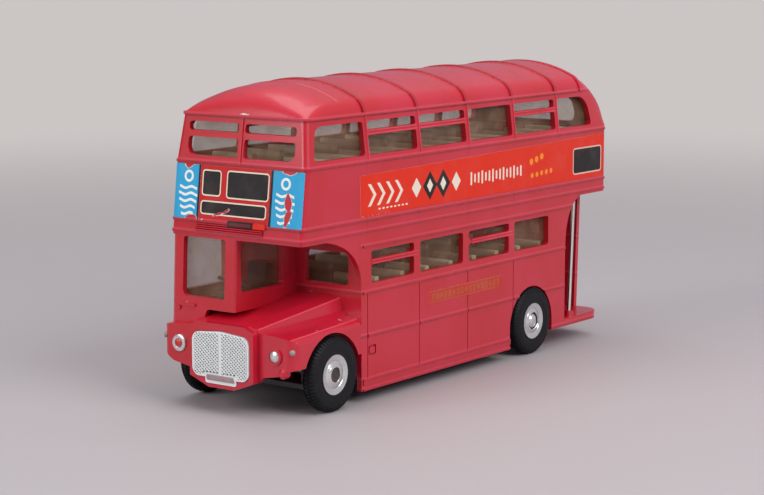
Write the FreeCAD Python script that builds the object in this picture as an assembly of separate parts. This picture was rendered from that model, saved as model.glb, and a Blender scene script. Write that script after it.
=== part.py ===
import FreeCAD, Part
import math
import os

# A die-cast toy double decker bus with a half cab, an open rear platform and turning wheels.
# Millimetres. The bus faces -Y, its door side is +X, +Z is up, and it stands on z = 0.
# The origin lies under the middle of its length and width.

V = FreeCAD.Vector

# Overall sizes
LENGTH = 122.0
BODY_HALF_W = 17.35
WALL = 1.2
FIT = 0.12

# Heights of the side's lines, from the ground up
SKIRT_Z = 2.55
REAR_SKIRT_Z = 4.3
SKIRT_STRIP_RISE = 1.2
SKIRT_STRIP_H = 1.3
LOW_LINE_Z = 14.0
DECK_Z = 35.4
SILL_LINE_DROP = 12.4
LINTEL_DROP = 2.8
PANEL_LINE_RISE = 2.6
PANEL_H = 14.5
WINDOW_BAND_H = 9.4
ROOF_RISE = 6.75

# Upper deck: setbacks and rake of the front, lean of the sides, roof domes
FRONT_SETBACK = 5.0
PANEL_RAKE = 1.7
WINDOW_RAKE = 1.3
TUMBLEHOME = 1.1
FRONT_DOME = 12.0
REAR_DOME = 13.5
FRONT_CORNER_R = 1.3
REAR_CORNER_R = 1.5
ROOF_SHOULDER_R = 4.0
REAR_TUCK = 1.4
DOME_TURNS = (0, 24, 44, 61, 75, 86)
VOID_TURNS = (0, 28, 52, 74)

# Raised lines of the casting
BEAD_PROUD = 0.22
BEAD_H = 0.5
GUTTER_PROUD = 0.35
GUTTER_H = 0.6
RIB_W = 0.9
RIB_PROUD = 0.35
REAR_RIB_BACK = 11.3
SEAM_W = 0.22
SEAM_DEPTH = 0.18
FILLER_DROP = 2.1
FILLER_W = 2.6
FILLER_H = 2.1
FILLER_RIM = 0.4
TRIM_EDGE = 3.8
TRIM_W = 3.5
TRIM_H = 0.6
TRIM_BOSS_R = 0.5

# Window bays between the upper deck's pillars
FIRST_PILLAR_BACK = 26.6
LAST_PILLAR_AHEAD = 22.1
BAYS = 4
UPPER_PILLAR_W = 1.5
LOWER_PILLAR_W = 2.2
UPPER_SILL_RISE = 1.3
UPPER_HEAD_DROP = 1.2
LOWER_SILL_RISE = 1.8
LOWER_HEAD_DROP = 3.9
WINDOW_R = 0.7
SLIDER_BAR_H = 0.95
SLIDER_DROP = 1.85
FRONT_BAR_H = 1.25
GLASS_T = 0.7
MULLION_W = 1.6
MULLION_STRIP_W = 0.7
FRONT_LIGHT_EDGE = 3.3
REAR_LIGHT_EDGE = 8.1
REAR_LIGHT_HEAD_DROP = 1.0
REAR_LIGHT_R = 1.6
FIRST_LIGHT_EDGE = 2.4
FIRST_LIGHT_FOOT_R = 1.0
FIRST_LIGHT_HEAD_R = 2.2
LAST_LIGHT_EDGE = 6.8
LAST_LIGHT_LEAN = 1.6
LAST_LIGHT_FOOT_R = 0.9
LAST_LIGHT_HEAD_R = 4.6
FRONT_LIGHT_R = 2.0

# Louvre below the front blinds
LOUVRE_X0 = -10.4
LOUVRE_X1 = 7.3
LOUVRE_RISE = 0.8
LOUVRE_PITCH = 0.42
LOUVRE_SLATS = 5
LOUVRE_PROUD = 0.4

# Deck between the two castings, thin over the bonnet and over the platform
DECK_LIP_T = 0.55

# Cab, bulkhead and the arch over the bonnet
CAB_INNER_X = 0.3
CAB_SETBACK = 4.1
CAB_CORNER_R = 2.2
CAB_INNER_R = 0.5
CAB_FOOT_HALF_W = 9.0
CAB_FLOOR_HALF_W = 7.0
CAB_CUT_R = 1.0
BULKHEAD_BACK = 24.2
CAB_SILL_Z = 22.4
CAB_FLOOR_Z = 20.1
CAB_FLOOR_T = 1.0
SCREEN_HEAD_DROP = 0.75
SCREEN_OUTER = 3.7
SCREEN_INNER = 2.7
CAB_LIGHT_SILL_Z = 24.0
CAB_LIGHT_HEAD_DROP = 1.2
SCREEN_R = 1.2
CAB_LIGHT_FRONT = 2.4
CAB_LIGHT_REAR = 4.4
CAB_DOOR_FRONT = 3.0
CAB_DOOR_REAR = 3.4
CAB_DOOR_SILL = 0.4
CAB_DOOR_R = 2.5
BULKHEAD_LIGHT_X = 2.8
BULKHEAD_LIGHT_EDGE = 3.35
BULKHEAD_LIGHT_HEAD_DROP = 4.3
ARCH_FOOT_Z = 24.0
ARCH_POWER = 2.4
SPANDREL_FOOT_Z = 20.0
SPANDREL_RUN = 12.9
SPANDREL_POWER = 3.0

# Bonnet, wings and nose
WING_SETBACK = 1.9
WING_TOP_Z = 16.6
WING_REAR_TOP_Z = 17.9
WING_FOOT_Z = 10.3
WING_CORNER_R = 2.4
WING_EDGE = ((0.0, 1.5), (0.3, 0.7), (1.1, 0.1))
WING_CREST_EDGE = 3.4
WING_CREST_RISE = 0.35
WING_GAP = 0.1
WING_INNER_Z = 17.3
BONNET_HALF_W = 8.4
BONNET_CREASE_Z = 17.9
BONNET_FLAT_HALF_W = 5.8
BONNET_TOP_Z = 18.35
BONNET_REAR_HALF_W = 12.0
BONNET_REAR_CREASE_Z = 21.8
BONNET_REAR_FLAT_HALF_W = 8.6
BONNET_REAR_TOP_Z = 22.3
BONNET_STEP_HALF_W = 12.5
BONNET_STEP_Z = 19.0
NOSE_FOOT_Z = 5.2
NOSE_FOOT_HALF_W = 3.4
NOSE_FLANK_Z = 7.1
NOSE_EDGE_DROP = 0.5
NOSE_EDGE_R = 0.8
NOSE_CREST_R = 1.6

# Headlamps, side lamps and the small boss below the door-side lamp
LAMP_EDGE = 4.55
LAMP_Z = 13.0
LAMP_BEZEL_R = 1.75
LAMP_R = 1.25
LAMP_PROUD = 0.4
SIDE_LAMP_Z = 14.1
SIDE_LAMP_R = 0.55
SIDE_LAMP_TURN = 45
FOG_EDGE = 2.65
FOG_Z = 9.7
FOG_R = 1.05

# Radiator grille
GRILLE_HALF_W = 7.4
GRILLE_TOP_Z = 16.9
GRILLE_FOOT_Z = 7.3
GRILLE_CROWN = 0.7
GRILLE_T = 0.9
GRILLE_PROUD = 0.35
GRILLE_FRAME_W = 0.7
GRILLE_BAR_W = 0.75
GRILLE_CORNER_R = 1.8
MESH_PITCH_X = 0.9
MESH_PITCH_Z = 0.74
MESH_BAR_W = 0.2
MESH_DEPTH = 0.4
PLATE_HALF_W = 4.1
PLATE_H = 1.25
PLATE_CORNER_R = 0.5

# Rear platform and its pole
DOOR_BACK = 18.4
REAR_PANEL_EDGE = 7.05
PLATFORM_T = 1.8
PLATFORM_CORNER_R = 4.4
POLE_R = 0.45
POLE_EDGE = 1.55
POLE_BACK = 13.95
POLE_LEAN = 1.6
POLE_BOSS_R = 1.0
POLE_BOSS_H = 1.2

# Wheels and axles
TYRE_R = 7.76
TYRE_W = 3.4
TYRE_CROWN_W = 1.0
TYRE_SHOULDER_DROP = 1.4
TYRE_PROUD = 0.55
RIM_R = 4.2
RIM_BEVEL = 0.35
HUB_RECESS = 0.4
HUB_WELL_R = 1.35
HUB_WELL_EDGE = 0.3
HUB_BOSS_R = 1.7
HUB_BOSS_L = 2.0
HUB_WELL_DEPTH = 0.5
RIVET_R = 1.25
RIVET_H = 0.5
SADDLE_W = 1.6
SADDLE_H = 2.2
SIDE_PLAY = 0.3
AXLE_R = 0.8
BEARING_GAP = 0.05
FRONT_OVERHANG = 15.0
REAR_OVERHANG = 32.53
FRONT_ARCH_R = 9.3
REAR_ARCH_R = 8.9
ARCH_DROP = 0.75
ARCH_AHEAD = 0.4

# Seats, floors, stairs and the base
FLOOR_T = 0.9
SEAT_PITCH = 9.05
AISLE_HALF_W = 4.2
SEAT_DEPTH = 4.6
SEAT_BACK_T = 1.5
SEAT_LEAN = 0.6
SEAT_GAP = 0.5
SEAT_EDGE_R = 0.5
CUSHION_H = 6.5
LOWER_CUSHION_H = 6.0
SEAT_STEP_H = 4.0
STAIRS = 5
STAIR_RUN = 2.6
STAIR_RISE = 2.5
STAIR_W = 6.4
BASE_T = 1.0
BASE_RISE = 2.05

# Driver's place
CAB_PLATE_W = 6.0
CAB_PLATE_L = 13.0
CAB_PLATE_T = 0.5
DRIVER_SEAT_W = 4.8
DRIVER_SEAT_ROOM = 7.4
DRIVER_CUSHION_H = 2.6
DRIVER_BACK_H = 6.4
COLUMN_R = 0.45
COLUMN_AHEAD = 12.4
COLUMN_H = 3.9
COLUMN_LEAN = 1.2
STEERING_R = 2.4
STEERING_RIM = 0.6

# Places that follow from the sizes above
NOSE_Y = -LENGTH / 2
REAR_Y = LENGTH / 2 - BEAD_PROUD
SILL_LINE_Z = DECK_Z - SILL_LINE_DROP
LINTEL_LINE_Z = DECK_Z - LINTEL_DROP
PANEL_LINE_Z = DECK_Z + PANEL_LINE_RISE
BELT_Z = DECK_Z + PANEL_H
GUTTER_Z = BELT_Z + WINDOW_BAND_H
ROOF_Z = GUTTER_Z + ROOF_RISE
GUTTER_HALF_W = BODY_HALF_W - TUMBLEHOME
FRONT_DECK_Y = NOSE_Y + FRONT_SETBACK
FRONT_BELT_Y = FRONT_DECK_Y + PANEL_RAKE
FRONT_GUTTER_Y = FRONT_BELT_Y + WINDOW_RAKE
REAR_DOME_Y = REAR_Y - REAR_DOME
FIRST_PILLAR_Y = NOSE_Y + FIRST_PILLAR_BACK
LAST_PILLAR_Y = REAR_Y - LAST_PILLAR_AHEAD
BAY_PITCH = (LAST_PILLAR_Y - FIRST_PILLAR_Y) / BAYS
UPPER_SILL_Z = BELT_Z + UPPER_SILL_RISE
UPPER_HEAD_Z = GUTTER_Z - UPPER_HEAD_DROP
LOWER_SILL_Z = SILL_LINE_Z + LOWER_SILL_RISE
LOWER_HEAD_Z = DECK_Z - LOWER_HEAD_DROP
CAB_FRONT_Y = NOSE_Y + CAB_SETBACK
BULKHEAD_Y = NOSE_Y + BULKHEAD_BACK
WING_FRONT_Y = NOSE_Y + WING_SETBACK
DOOR_Y = REAR_Y - DOOR_BACK
FRONT_AXLE_Y = NOSE_Y + FRONT_OVERHANG
REAR_AXLE_Y = REAR_Y - REAR_OVERHANG
AXLE_Z = TYRE_R
BODY_INNER_X = BODY_HALF_W - WALL
DECK_UNDER_Z = DECK_Z - WALL
POLE_X = BODY_HALF_W - POLE_EDGE
POLE_Y = REAR_Y - POLE_BACK
POLE_TOP_Z = DECK_Z - DECK_LIP_T
PLATFORM_REAR_Y = REAR_Y - REAR_TUCK
PLATFORM_TOP_Z = REAR_SKIRT_Z + PLATFORM_T
TYRE_FACE_X = BODY_HALF_W + TYRE_PROUD
HUB_WELL_X = TYRE_FACE_X - HUB_RECESS - HUB_WELL_DEPTH
BOSS_END_X = TYRE_FACE_X - TYRE_W - HUB_BOSS_L
SADDLE_X = BOSS_END_X - SIDE_PLAY
BASE_Z = SKIRT_Z + BASE_RISE
LAMP_X = BODY_HALF_W - LAMP_EDGE
OUTSIDE = 1.0


def box(x0, x1, y0, y1, z0, z1):
    """A block between two corners."""
    return Part.makeBox(x1 - x0, y1 - y0, z1 - z0, V(x0, y0, z0))


def rod(radius, start, end):
    """A round rod from one point to another."""
    run = end.sub(start)
    return Part.makeCylinder(radius, run.Length, start, run)


def rounded_wire(points, radii, place):
    """A closed outline through 2-D points, each corner rounded by its own radius."""
    count = len(points)
    corners = []
    for i in range(count):
        here = V(points[i][0], points[i][1], 0)
        before = V(points[i - 1][0], points[i - 1][1], 0)
        after = V(points[(i + 1) % count][0], points[(i + 1) % count][1], 0)
        back = before.sub(here).normalize()
        ahead = after.sub(here).normalize()
        radius = radii[i]
        if radius <= 0:
            corners.append((here, None, here))
            continue
        half_turn = math.acos(max(-1.0, min(1.0, back.dot(ahead)))) / 2
        reach = radius / math.tan(half_turn)
        start = here + back * reach
        end = here + ahead * reach
        centre = here + (back + ahead).normalize() * (radius / math.sin(half_turn))
        middle = centre + (here.sub(centre)).normalize() * radius
        corners.append((start, middle, end))
    edges = []
    for i in range(count):
        start, middle, end = corners[i]
        if middle is not None:
            edges.append(Part.Arc(place(start), place(middle), place(end)).toShape())
        following = corners[(i + 1) % count][0]
        if end.distanceToPoint(following) > 1e-6:
            edges.append(Part.LineSegment(place(end), place(following)).toShape())
    return Part.Wire(edges)


def path_wire(start, steps, place):
    """A closed outline of straight runs; a step that is a list of points is one smooth curve."""
    edges = []
    here = start
    for step in steps + [start]:
        if isinstance(step, list):
            curve = Part.BSplineCurve()
            curve.interpolate([place(V(u, v, 0)) for u, v in [here] + step])
            edges.append(curve.toShape())
            here = step[-1]
        else:
            start_point = place(V(here[0], here[1], 0))
            edges.append(Part.LineSegment(start_point, place(V(step[0], step[1], 0))).toShape())
            here = step
    return Part.Wire(edges)


def quarter_curve(centre, reach_u, reach_v, power, last_turn, count=8):
    """Points of a quarter superellipse from its end on the u axis, the first left out."""
    points = []
    for i in range(1, count + 1):
        turn = math.radians(last_turn) * i / count
        points.append((centre[0] + reach_u * math.cos(turn) ** (2 / power),
                       centre[1] + reach_v * math.sin(turn) ** (2 / power)))
    return points


def on_x(x):
    """Places a 2-D point (y, z) on the plane of one x."""
    return lambda p: V(x, p.x, p.y)


def on_y(y):
    """Places a 2-D point (x, z) on the plane of one y."""
    return lambda p: V(p.x, y, p.y)


def on_z(z):
    """Places a 2-D point (x, y) on the plane of one z."""
    return lambda p: V(p.x, p.y, z)


def prism_x(points, radii, x0, x1):
    """An outline in (y, z) carried from x0 to x1."""
    return Part.Face(rounded_wire(points, radii, on_x(x0))).extrude(V(x1 - x0, 0, 0))


def prism_y(points, radii, y0, y1):
    """An outline in (x, z) carried from y0 to y1."""
    return Part.Face(rounded_wire(points, radii, on_y(y0))).extrude(V(0, y1 - y0, 0))


def prism_z(points, radii, z0, z1):
    """An outline in (x, y) carried from z0 to z1."""
    return Part.Face(rounded_wire(points, radii, on_z(z0))).extrude(V(0, 0, z1 - z0))


def rectangle(u0, u1, v0, v1):
    """Corner points of a rectangle, counted round."""
    return [(u0, v0), (u1, v0), (u1, v1), (u0, v1)]


def fuse_all(shapes):
    """One solid from shapes that meet."""
    joined = shapes[0].multiFuse(shapes[1:]) if len(shapes) > 1 else shapes[0]
    return joined.removeSplitter()


def round_edges(solid, radius, wanted):
    """Rounds the edges whose ends both pass a test."""
    chosen = [e for e in solid.Edges if all(wanted(v.Point) for v in e.Vertexes)]
    return solid.makeFillet(radius, chosen)


def save(name, shape):
    """Writes one sub-part."""
    shape.exportStep(os.path.join("parts", name + ".step"))
    print("%-22s solids %d  volume %9.2f" % (name, len(shape.Solids), shape.Volume))


# Forms of the upper deck


def raked_block(lows, highs, front_r, rear_r):
    """A block whose front leans back and whose sides lean in; lows and highs are (z, half_w, front, rear)."""
    z0, half0, front0, rear0 = lows
    z1, half1, front1, rear1 = highs
    side_view = [(front0, z0), (rear0, z0), (rear1, z1), (front1, z1)]
    end_view = [(-half0, z0), (half0, z0), (half1, z1), (-half1, z1)]
    reach = half0 + OUTSIDE
    block = prism_x(side_view, [0] * 4, -reach, reach).common(
        prism_y(end_view, [0] * 4, min(front0, front1) - OUTSIDE, max(rear0, rear1) + OUTSIDE))
    middle = (front0 + rear0) / 2
    for side in (-1, 1):
        if front_r > 0:
            block = round_edges(block, front_r, lambda p: p.y < middle and p.x * side > 0)
        if rear_r > 0:
            block = round_edges(block, rear_r, lambda p: p.y > middle and p.x * side > 0)
    return block


def corner_radius(radius, inset):
    """A corner's radius on a line that lies inside the outer face by the inset."""
    return max(radius - inset, WALL / 3)


def crown_circle(half_w, rise, shoulder_r):
    """Radius and centre height of the roof's flat middle arc, tangent to both shoulder arcs."""
    run = half_w - shoulder_r
    radius = (run * run + rise * rise - shoulder_r * shoulder_r) / (2 * (rise - shoulder_r))
    return radius, rise - radius


def arch_edges(y, grow):
    """The roof's curve across the bus in three arcs, from the door side over to the far side."""
    half_w = GUTTER_HALF_W + grow
    shoulder_r = ROOF_SHOULDER_R + grow
    run = half_w - shoulder_r
    radius, centre = crown_circle(half_w, ROOF_RISE + grow, shoulder_r)
    turn = math.atan2(-centre, run)
    tip_x, tip_z = radius * math.cos(turn), GUTTER_Z + centre + radius * math.sin(turn)
    half = turn / 2
    mid_x, mid_z = run + shoulder_r * math.cos(half), GUTTER_Z + shoulder_r * math.sin(half)
    crown = V(0, y, GUTTER_Z + ROOF_RISE + grow)
    return [Part.Arc(V(half_w, y, GUTTER_Z), V(mid_x, y, mid_z), V(tip_x, y, tip_z)).toShape(),
            Part.Arc(V(tip_x, y, tip_z), crown, V(-tip_x, y, tip_z)).toShape(),
            Part.Arc(V(-tip_x, y, tip_z), V(-mid_x, y, mid_z), V(-half_w, y, GUTTER_Z)).toShape()]


def flattened(wire, base_z, share, run):
    """A section scaled in height about a line and moved along the bus."""
    matrix = FreeCAD.Matrix(1, 0, 0, 0, 0, 1, 0, run, 0, 0, share, base_z * (1 - share), 0, 0, 0, 1)
    return wire.transformGeometry(matrix)


def roof_section(y, grow=0.0):
    """The roof alone, cut across at one place."""
    half_w = GUTTER_HALF_W + grow
    base = Part.LineSegment(V(-half_w, y, GUTTER_Z), V(half_w, y, GUTTER_Z)).toShape()
    return Part.Wire(arch_edges(y, grow) + [base])


def band_section(y, grow=0.0):
    """Window band and roof together, cut across at one place."""
    low = BODY_HALF_W + grow
    high = GUTTER_HALF_W + grow
    sides = [(V(-high, y, GUTTER_Z), V(-low, y, BELT_Z)), (V(-low, y, BELT_Z), V(low, y, BELT_Z)),
             (V(low, y, BELT_Z), V(high, y, GUTTER_Z))]
    return Part.Wire(arch_edges(y, grow) + [Part.LineSegment(a, b).toShape() for a, b in sides])


def upper_walls(inset, z_from):
    """The upright part of the upper deck below its roof, moved inwards by the inset."""
    rear = REAR_Y - inset
    front_r = corner_radius(FRONT_CORNER_R, inset)
    rear_r = corner_radius(REAR_CORNER_R, inset)
    wide = BODY_HALF_W - inset
    narrow = GUTTER_HALF_W - inset
    low = raked_block((z_from, wide, FRONT_DECK_Y + inset, rear), (BELT_Z, wide, FRONT_BELT_Y + inset, rear),
                      front_r, rear_r)
    band = raked_block((BELT_Z, wide, FRONT_BELT_Y + inset, REAR_DOME_Y),
                       (GUTTER_Z, narrow, FRONT_GUTTER_Y + inset, REAR_DOME_Y), front_r, 0)
    return [low, band]


def upper_block():
    """The whole upper deck as a solid with its domed roof."""
    roof_start = FRONT_GUTTER_Y + FRONT_DOME
    first = roof_section(roof_start)
    last = band_section(REAR_DOME_Y)
    fronts = []
    rears = []
    for turn in [math.radians(t) for t in DOME_TURNS]:
        fronts.append(flattened(first, GUTTER_Z, math.cos(turn), -FRONT_DOME * math.sin(turn)))
        rears.append(flattened(last, BELT_Z, math.cos(turn), REAR_DOME * math.sin(turn)))
    domes = Part.makeLoft(fronts, True, False).fuse(Part.makeLoft(rears, True, False))
    up = V(0, 0, ROOF_Z + OUTSIDE - BELT_Z)
    nose_plan = plan_face(BELT_Z, GUTTER_HALF_W, FRONT_GUTTER_Y, roof_start, FRONT_CORNER_R, 0)
    rear_plan = plan_face(BELT_Z, BODY_HALF_W, REAR_DOME_Y, REAR_Y, 0, REAR_CORNER_R)
    domes = domes.common(nose_plan.extrude(up).fuse(rear_plan.extrude(up)))
    roof = Part.Face(first).extrude(V(0, REAR_DOME_Y - roof_start, 0))
    low, band = upper_walls(0, DECK_Z)
    return low.multiFuse([band, roof, domes])


def void_arch(inset):
    """The ceiling's plain-sided curve across the bus, from the door side over to the far side."""
    shoulder = GUTTER_HALF_W - ROOF_SHOULDER_R
    slope = (ROOF_SHOULDER_R - inset) * math.sqrt(0.5)
    radius, centre = crown_circle(GUTTER_HALF_W, ROOF_RISE, ROOF_SHOULDER_R)
    half = [(GUTTER_HALF_W - inset, GUTTER_Z), (shoulder + slope, GUTTER_Z + slope)]
    for x in (shoulder, shoulder / 2):
        half.append((x, GUTTER_Z + centre + math.sqrt((radius - inset) ** 2 - x * x)))
    return half + [(0, ROOF_Z - inset)] + [(-x, z) for x, z in half[::-1]]


def upper_void(inset):
    """The room inside the upper deck; its ceiling follows the domes in plain slopes."""
    roof_start = FRONT_GUTTER_Y + FRONT_DOME
    rear = REAR_Y - inset
    wide = BODY_HALF_W - inset
    arch = void_arch(inset)
    count = len(arch)
    first = rounded_wire(arch, [0] * count, on_y(roof_start))
    last = rounded_wire([(-wide, BELT_Z), (wide, BELT_Z)] + arch, [0] * (count + 2), on_y(REAR_DOME_Y))
    fronts = []
    rears = []
    for turn in [math.radians(t) for t in VOID_TURNS]:
        fronts.append(flattened(first, GUTTER_Z, math.cos(turn), (inset - FRONT_DOME) * math.sin(turn)))
        rears.append(flattened(last, BELT_Z, math.cos(turn), (REAR_DOME - inset) * math.sin(turn)))
    nose_room = Part.makeLoft(fronts, True, True)
    rear_room = Part.makeLoft(rears, True, True)
    rear_r = corner_radius(REAR_CORNER_R, inset)
    keep = plan_face(BELT_Z, wide, REAR_DOME_Y - REAR_DOME, rear, 0, rear_r).extrude(V(0, 0, ROOF_Z - BELT_Z))
    ceiling = Part.Face(first).extrude(V(0, REAR_DOME_Y - roof_start, 0))
    low, band = upper_walls(inset, DECK_Z - OUTSIDE)
    return low.multiFuse([band, nose_room, ceiling, rear_room.common(keep)])


def plan_face(z, half_w, front, rear, front_r, rear_r):
    """A flat face of the bus's plan with its four rounded corners."""
    radii = [front_r, front_r, rear_r, rear_r]
    return Part.Face(rounded_wire(rectangle(-half_w, half_w, front, rear), radii, on_z(z)))


def band_line(z, height, proud):
    """A raised line round the upper deck below or at its windows."""
    front = FRONT_DECK_Y + PANEL_RAKE * (z - DECK_Z) / PANEL_H
    face = plan_face(z, BODY_HALF_W + proud, front - proud, REAR_Y + proud, FRONT_CORNER_R + proud,
                     REAR_CORNER_R + proud)
    return face.extrude(V(0, 0, height))


def gutter_line():
    """The gutter along both sides and round the front, which dies out where the rear dome starts."""
    half_w = GUTTER_HALF_W + GUTTER_PROUD
    front = FRONT_GUTTER_Y - GUTTER_PROUD
    face = plan_face(GUTTER_Z, half_w, front, REAR_DOME_Y + OUTSIDE, FRONT_CORNER_R + GUTTER_PROUD,
                     GUTTER_PROUD)
    return face.extrude(V(0, 0, GUTTER_H))


def roof_ribs():
    """Ribs across the roof over each pillar, and one on the rear dome."""
    ribs = []
    for bay in range(BAYS + 1):
        y = FIRST_PILLAR_Y + BAY_PITCH * bay - RIB_W / 2
        ribs.append(Part.Face(roof_section(y, RIB_PROUD)).extrude(V(0, RIB_W, 0)))
    turn = math.asin((REAR_DOME - REAR_RIB_BACK) / REAR_DOME)
    section = band_section(REAR_DOME_Y, RIB_PROUD)
    section = flattened(section, BELT_Z, math.cos(turn), REAR_DOME * math.sin(turn))
    above = box(-BODY_HALF_W, BODY_HALF_W, REAR_DOME_Y, REAR_Y, GUTTER_Z, ROOF_Z + OUTSIDE)
    ribs.append(Part.Face(section).extrude(V(0, RIB_W, 0)).common(above))
    return ribs


def mullion_strip():
    """The raised strip between the two front lights."""
    depth = BEAD_PROUD
    points = [(FRONT_BELT_Y - depth, BELT_Z), (FRONT_BELT_Y + WALL / 2, BELT_Z),
              (FRONT_GUTTER_Y + WALL / 2, GUTTER_Z), (FRONT_GUTTER_Y - depth, GUTTER_Z)]
    return prism_x(points, [0] * 4, -MULLION_STRIP_W / 2, MULLION_STRIP_W / 2)


def louvre_slats():
    """The block of fine slats on the front, just over the deck line."""
    slats = []
    for i in range(LOUVRE_SLATS):
        z = DECK_Z + LOUVRE_RISE + i * LOUVRE_PITCH
        front = FRONT_DECK_Y + PANEL_RAKE * (z - DECK_Z) / PANEL_H
        points = [(front - LOUVRE_PROUD, z), (front + WALL / 2, z), (front + WALL / 2, z + LOUVRE_PITCH),
                  (front, z + LOUVRE_PITCH * 0.75), (front - LOUVRE_PROUD, z + LOUVRE_PITCH * 0.4)]
        slats.append(prism_x(points, [0] * 5, LOUVRE_X0, LOUVRE_X1))
    return slats


def side_cut(y0, y1, z0, z1, radius, bar):
    """One window through both side walls, with or without the bar of its sliding light."""
    reach = BODY_HALF_W + OUTSIDE
    radii = [radius] * 4
    outlines = [rectangle(y0, y1, z0, z1)]
    if bar:
        bar_top = z1 - SLIDER_DROP
        outlines = [rectangle(y0, y1, bar_top, z1), rectangle(y0, y1, z0, bar_top - SLIDER_BAR_H)]
    return [prism_x(points, radii, -reach, reach) for points in outlines]


def upper_side_windows():
    """Six windows a side: the first leans back, the last ends in a round corner."""
    reach = BODY_HALF_W + OUTSIDE
    first_end = FIRST_PILLAR_Y - UPPER_PILLAR_W / 2
    front_edge = FRONT_BELT_Y + FIRST_LIGHT_EDGE
    first = [(front_edge, UPPER_SILL_Z), (first_end, UPPER_SILL_Z), (first_end, UPPER_HEAD_Z),
             (front_edge + WINDOW_RAKE, UPPER_HEAD_Z)]
    cuts = [prism_x(first, [FIRST_LIGHT_FOOT_R, WINDOW_R, WINDOW_R, FIRST_LIGHT_HEAD_R], -reach, reach)]
    for bay in range(BAYS):
        start = FIRST_PILLAR_Y + BAY_PITCH * bay + UPPER_PILLAR_W / 2
        end = start + BAY_PITCH - UPPER_PILLAR_W
        cuts += side_cut(start, end, UPPER_SILL_Z, UPPER_HEAD_Z, WINDOW_R, bay in (0, 1, 3))
    start = LAST_PILLAR_Y + UPPER_PILLAR_W / 2
    last_end = REAR_Y - LAST_LIGHT_EDGE
    last = [(start, UPPER_SILL_Z), (last_end, UPPER_SILL_Z), (last_end - LAST_LIGHT_LEAN, UPPER_HEAD_Z),
            (start, UPPER_HEAD_Z)]
    cuts.append(prism_x(last, [WINDOW_R, LAST_LIGHT_FOOT_R, LAST_LIGHT_HEAD_R, WINDOW_R], -reach, reach))
    return cuts


def upper_end_windows():
    """Two divided lights in the front and one wide light in the rear."""
    cuts = []
    bar_top = UPPER_HEAD_Z - SLIDER_DROP
    y0 = FRONT_DECK_Y
    y1 = FRONT_GUTTER_Y + WALL * 2
    for side in (-1, 1):
        x0, x1 = sorted((side * MULLION_W / 2, side * (BODY_HALF_W - FRONT_LIGHT_EDGE)))
        cuts.append(prism_y(rectangle(x0, x1, bar_top, UPPER_HEAD_Z), [WINDOW_R] * 4, y0, y1))
        radii = [WINDOW_R] * 4
        radii[0 if side < 0 else 1] = FRONT_LIGHT_R
        low = rectangle(x0, x1, UPPER_SILL_Z, bar_top - FRONT_BAR_H)
        cuts.append(prism_y(low, radii, y0, y1))
    half_w = BODY_HALF_W - REAR_LIGHT_EDGE
    rear = rectangle(-half_w, half_w, UPPER_SILL_Z, UPPER_HEAD_Z - REAR_LIGHT_HEAD_DROP)
    cuts.append(prism_y(rear, [REAR_LIGHT_R] * 4, REAR_Y - REAR_DOME / 2, REAR_Y + OUTSIDE))
    return cuts


def make_upper_body():
    """Upper deck casting: sides, ends and ribbed roof in one shell, open below."""
    feet = (BELT_Z - BEAD_H / 2, PANEL_LINE_Z - BEAD_H / 2, DECK_Z)
    lines = [band_line(z, BEAD_H, BEAD_PROUD) for z in feet]
    lines.append(gutter_line())
    outer = upper_block().multiFuse(roof_ribs() + lines + louvre_slats() + [mullion_strip()])
    shell = outer.cut(upper_void(WALL))
    return shell.cut(Part.makeCompound(upper_side_windows() + upper_end_windows()))


# Lower body


def arch_cut(axle_y, radius, depth):
    """The cut of one pair of wheel arches through both sides, round above and open below."""
    reach = BODY_HALF_W + OUTSIDE
    centre_y = axle_y - ARCH_AHEAD
    centre_z = AXLE_Z - ARCH_DROP
    cuts = []
    for x0, x1 in ((-reach, -BODY_HALF_W + depth), (BODY_HALF_W - depth, reach)):
        cuts.append(rod(radius, V(x0, centre_y, centre_z), V(x1, centre_y, centre_z)))
        cuts.append(box(x0, x1, centre_y - radius, centre_y + radius, -OUTSIDE, centre_z))
    return cuts


def door_side_panel():
    """The door side: an arch over the bonnet, a straight skirt, and a curved spandrel over the platform."""
    steps = [(REAR_AXLE_Y, SKIRT_Z), (REAR_AXLE_Y, REAR_SKIRT_Z), (DOOR_Y, REAR_SKIRT_Z),
             (DOOR_Y, SPANDREL_FOOT_Z)]
    spandrel = quarter_curve((DOOR_Y + SPANDREL_RUN, SPANDREL_FOOT_Z), -SPANDREL_RUN,
                             DECK_Z - SPANDREL_FOOT_Z, SPANDREL_POWER, 78)
    steps += [spandrel, (spandrel[-1][0], DECK_Z)]
    arch = quarter_curve((FRONT_DECK_Y, ARCH_FOOT_Z), BULKHEAD_Y - FRONT_DECK_Y, DECK_Z - ARCH_FOOT_Z,
                         ARCH_POWER, 78)
    steps += [(arch[-1][0], DECK_Z), arch[::-1][0], arch[::-1][1:] + [(BULKHEAD_Y, ARCH_FOOT_Z)]]
    wire = path_wire((BULKHEAD_Y, SKIRT_Z), steps, on_x(BODY_INNER_X))
    return Part.Face(wire).extrude(V(WALL, 0, 0))


def far_side_panel():
    """The cab side behind the cab, whole to the rear corner."""
    rear = PLATFORM_REAR_Y - REAR_CORNER_R
    points = [(BULKHEAD_Y, SKIRT_Z), (REAR_AXLE_Y, SKIRT_Z), (REAR_AXLE_Y, REAR_SKIRT_Z),
              (rear, REAR_SKIRT_Z), (rear, DECK_Z), (BULKHEAD_Y, DECK_Z)]
    return prism_x(points, [0] * len(points), -BODY_HALF_W, -BODY_INNER_X)


def rear_block(inset, front):
    """The lower body's rear end, which tucks forward towards its foot, moved inwards by the inset."""
    half_w = BODY_HALF_W - inset
    return raked_block((REAR_SKIRT_Z, half_w, front, PLATFORM_REAR_Y - inset),
                       (DECK_Z - DECK_LIP_T / 2, half_w, front, REAR_Y - FIT - inset), 0,
                       corner_radius(REAR_CORNER_R, inset))


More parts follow.
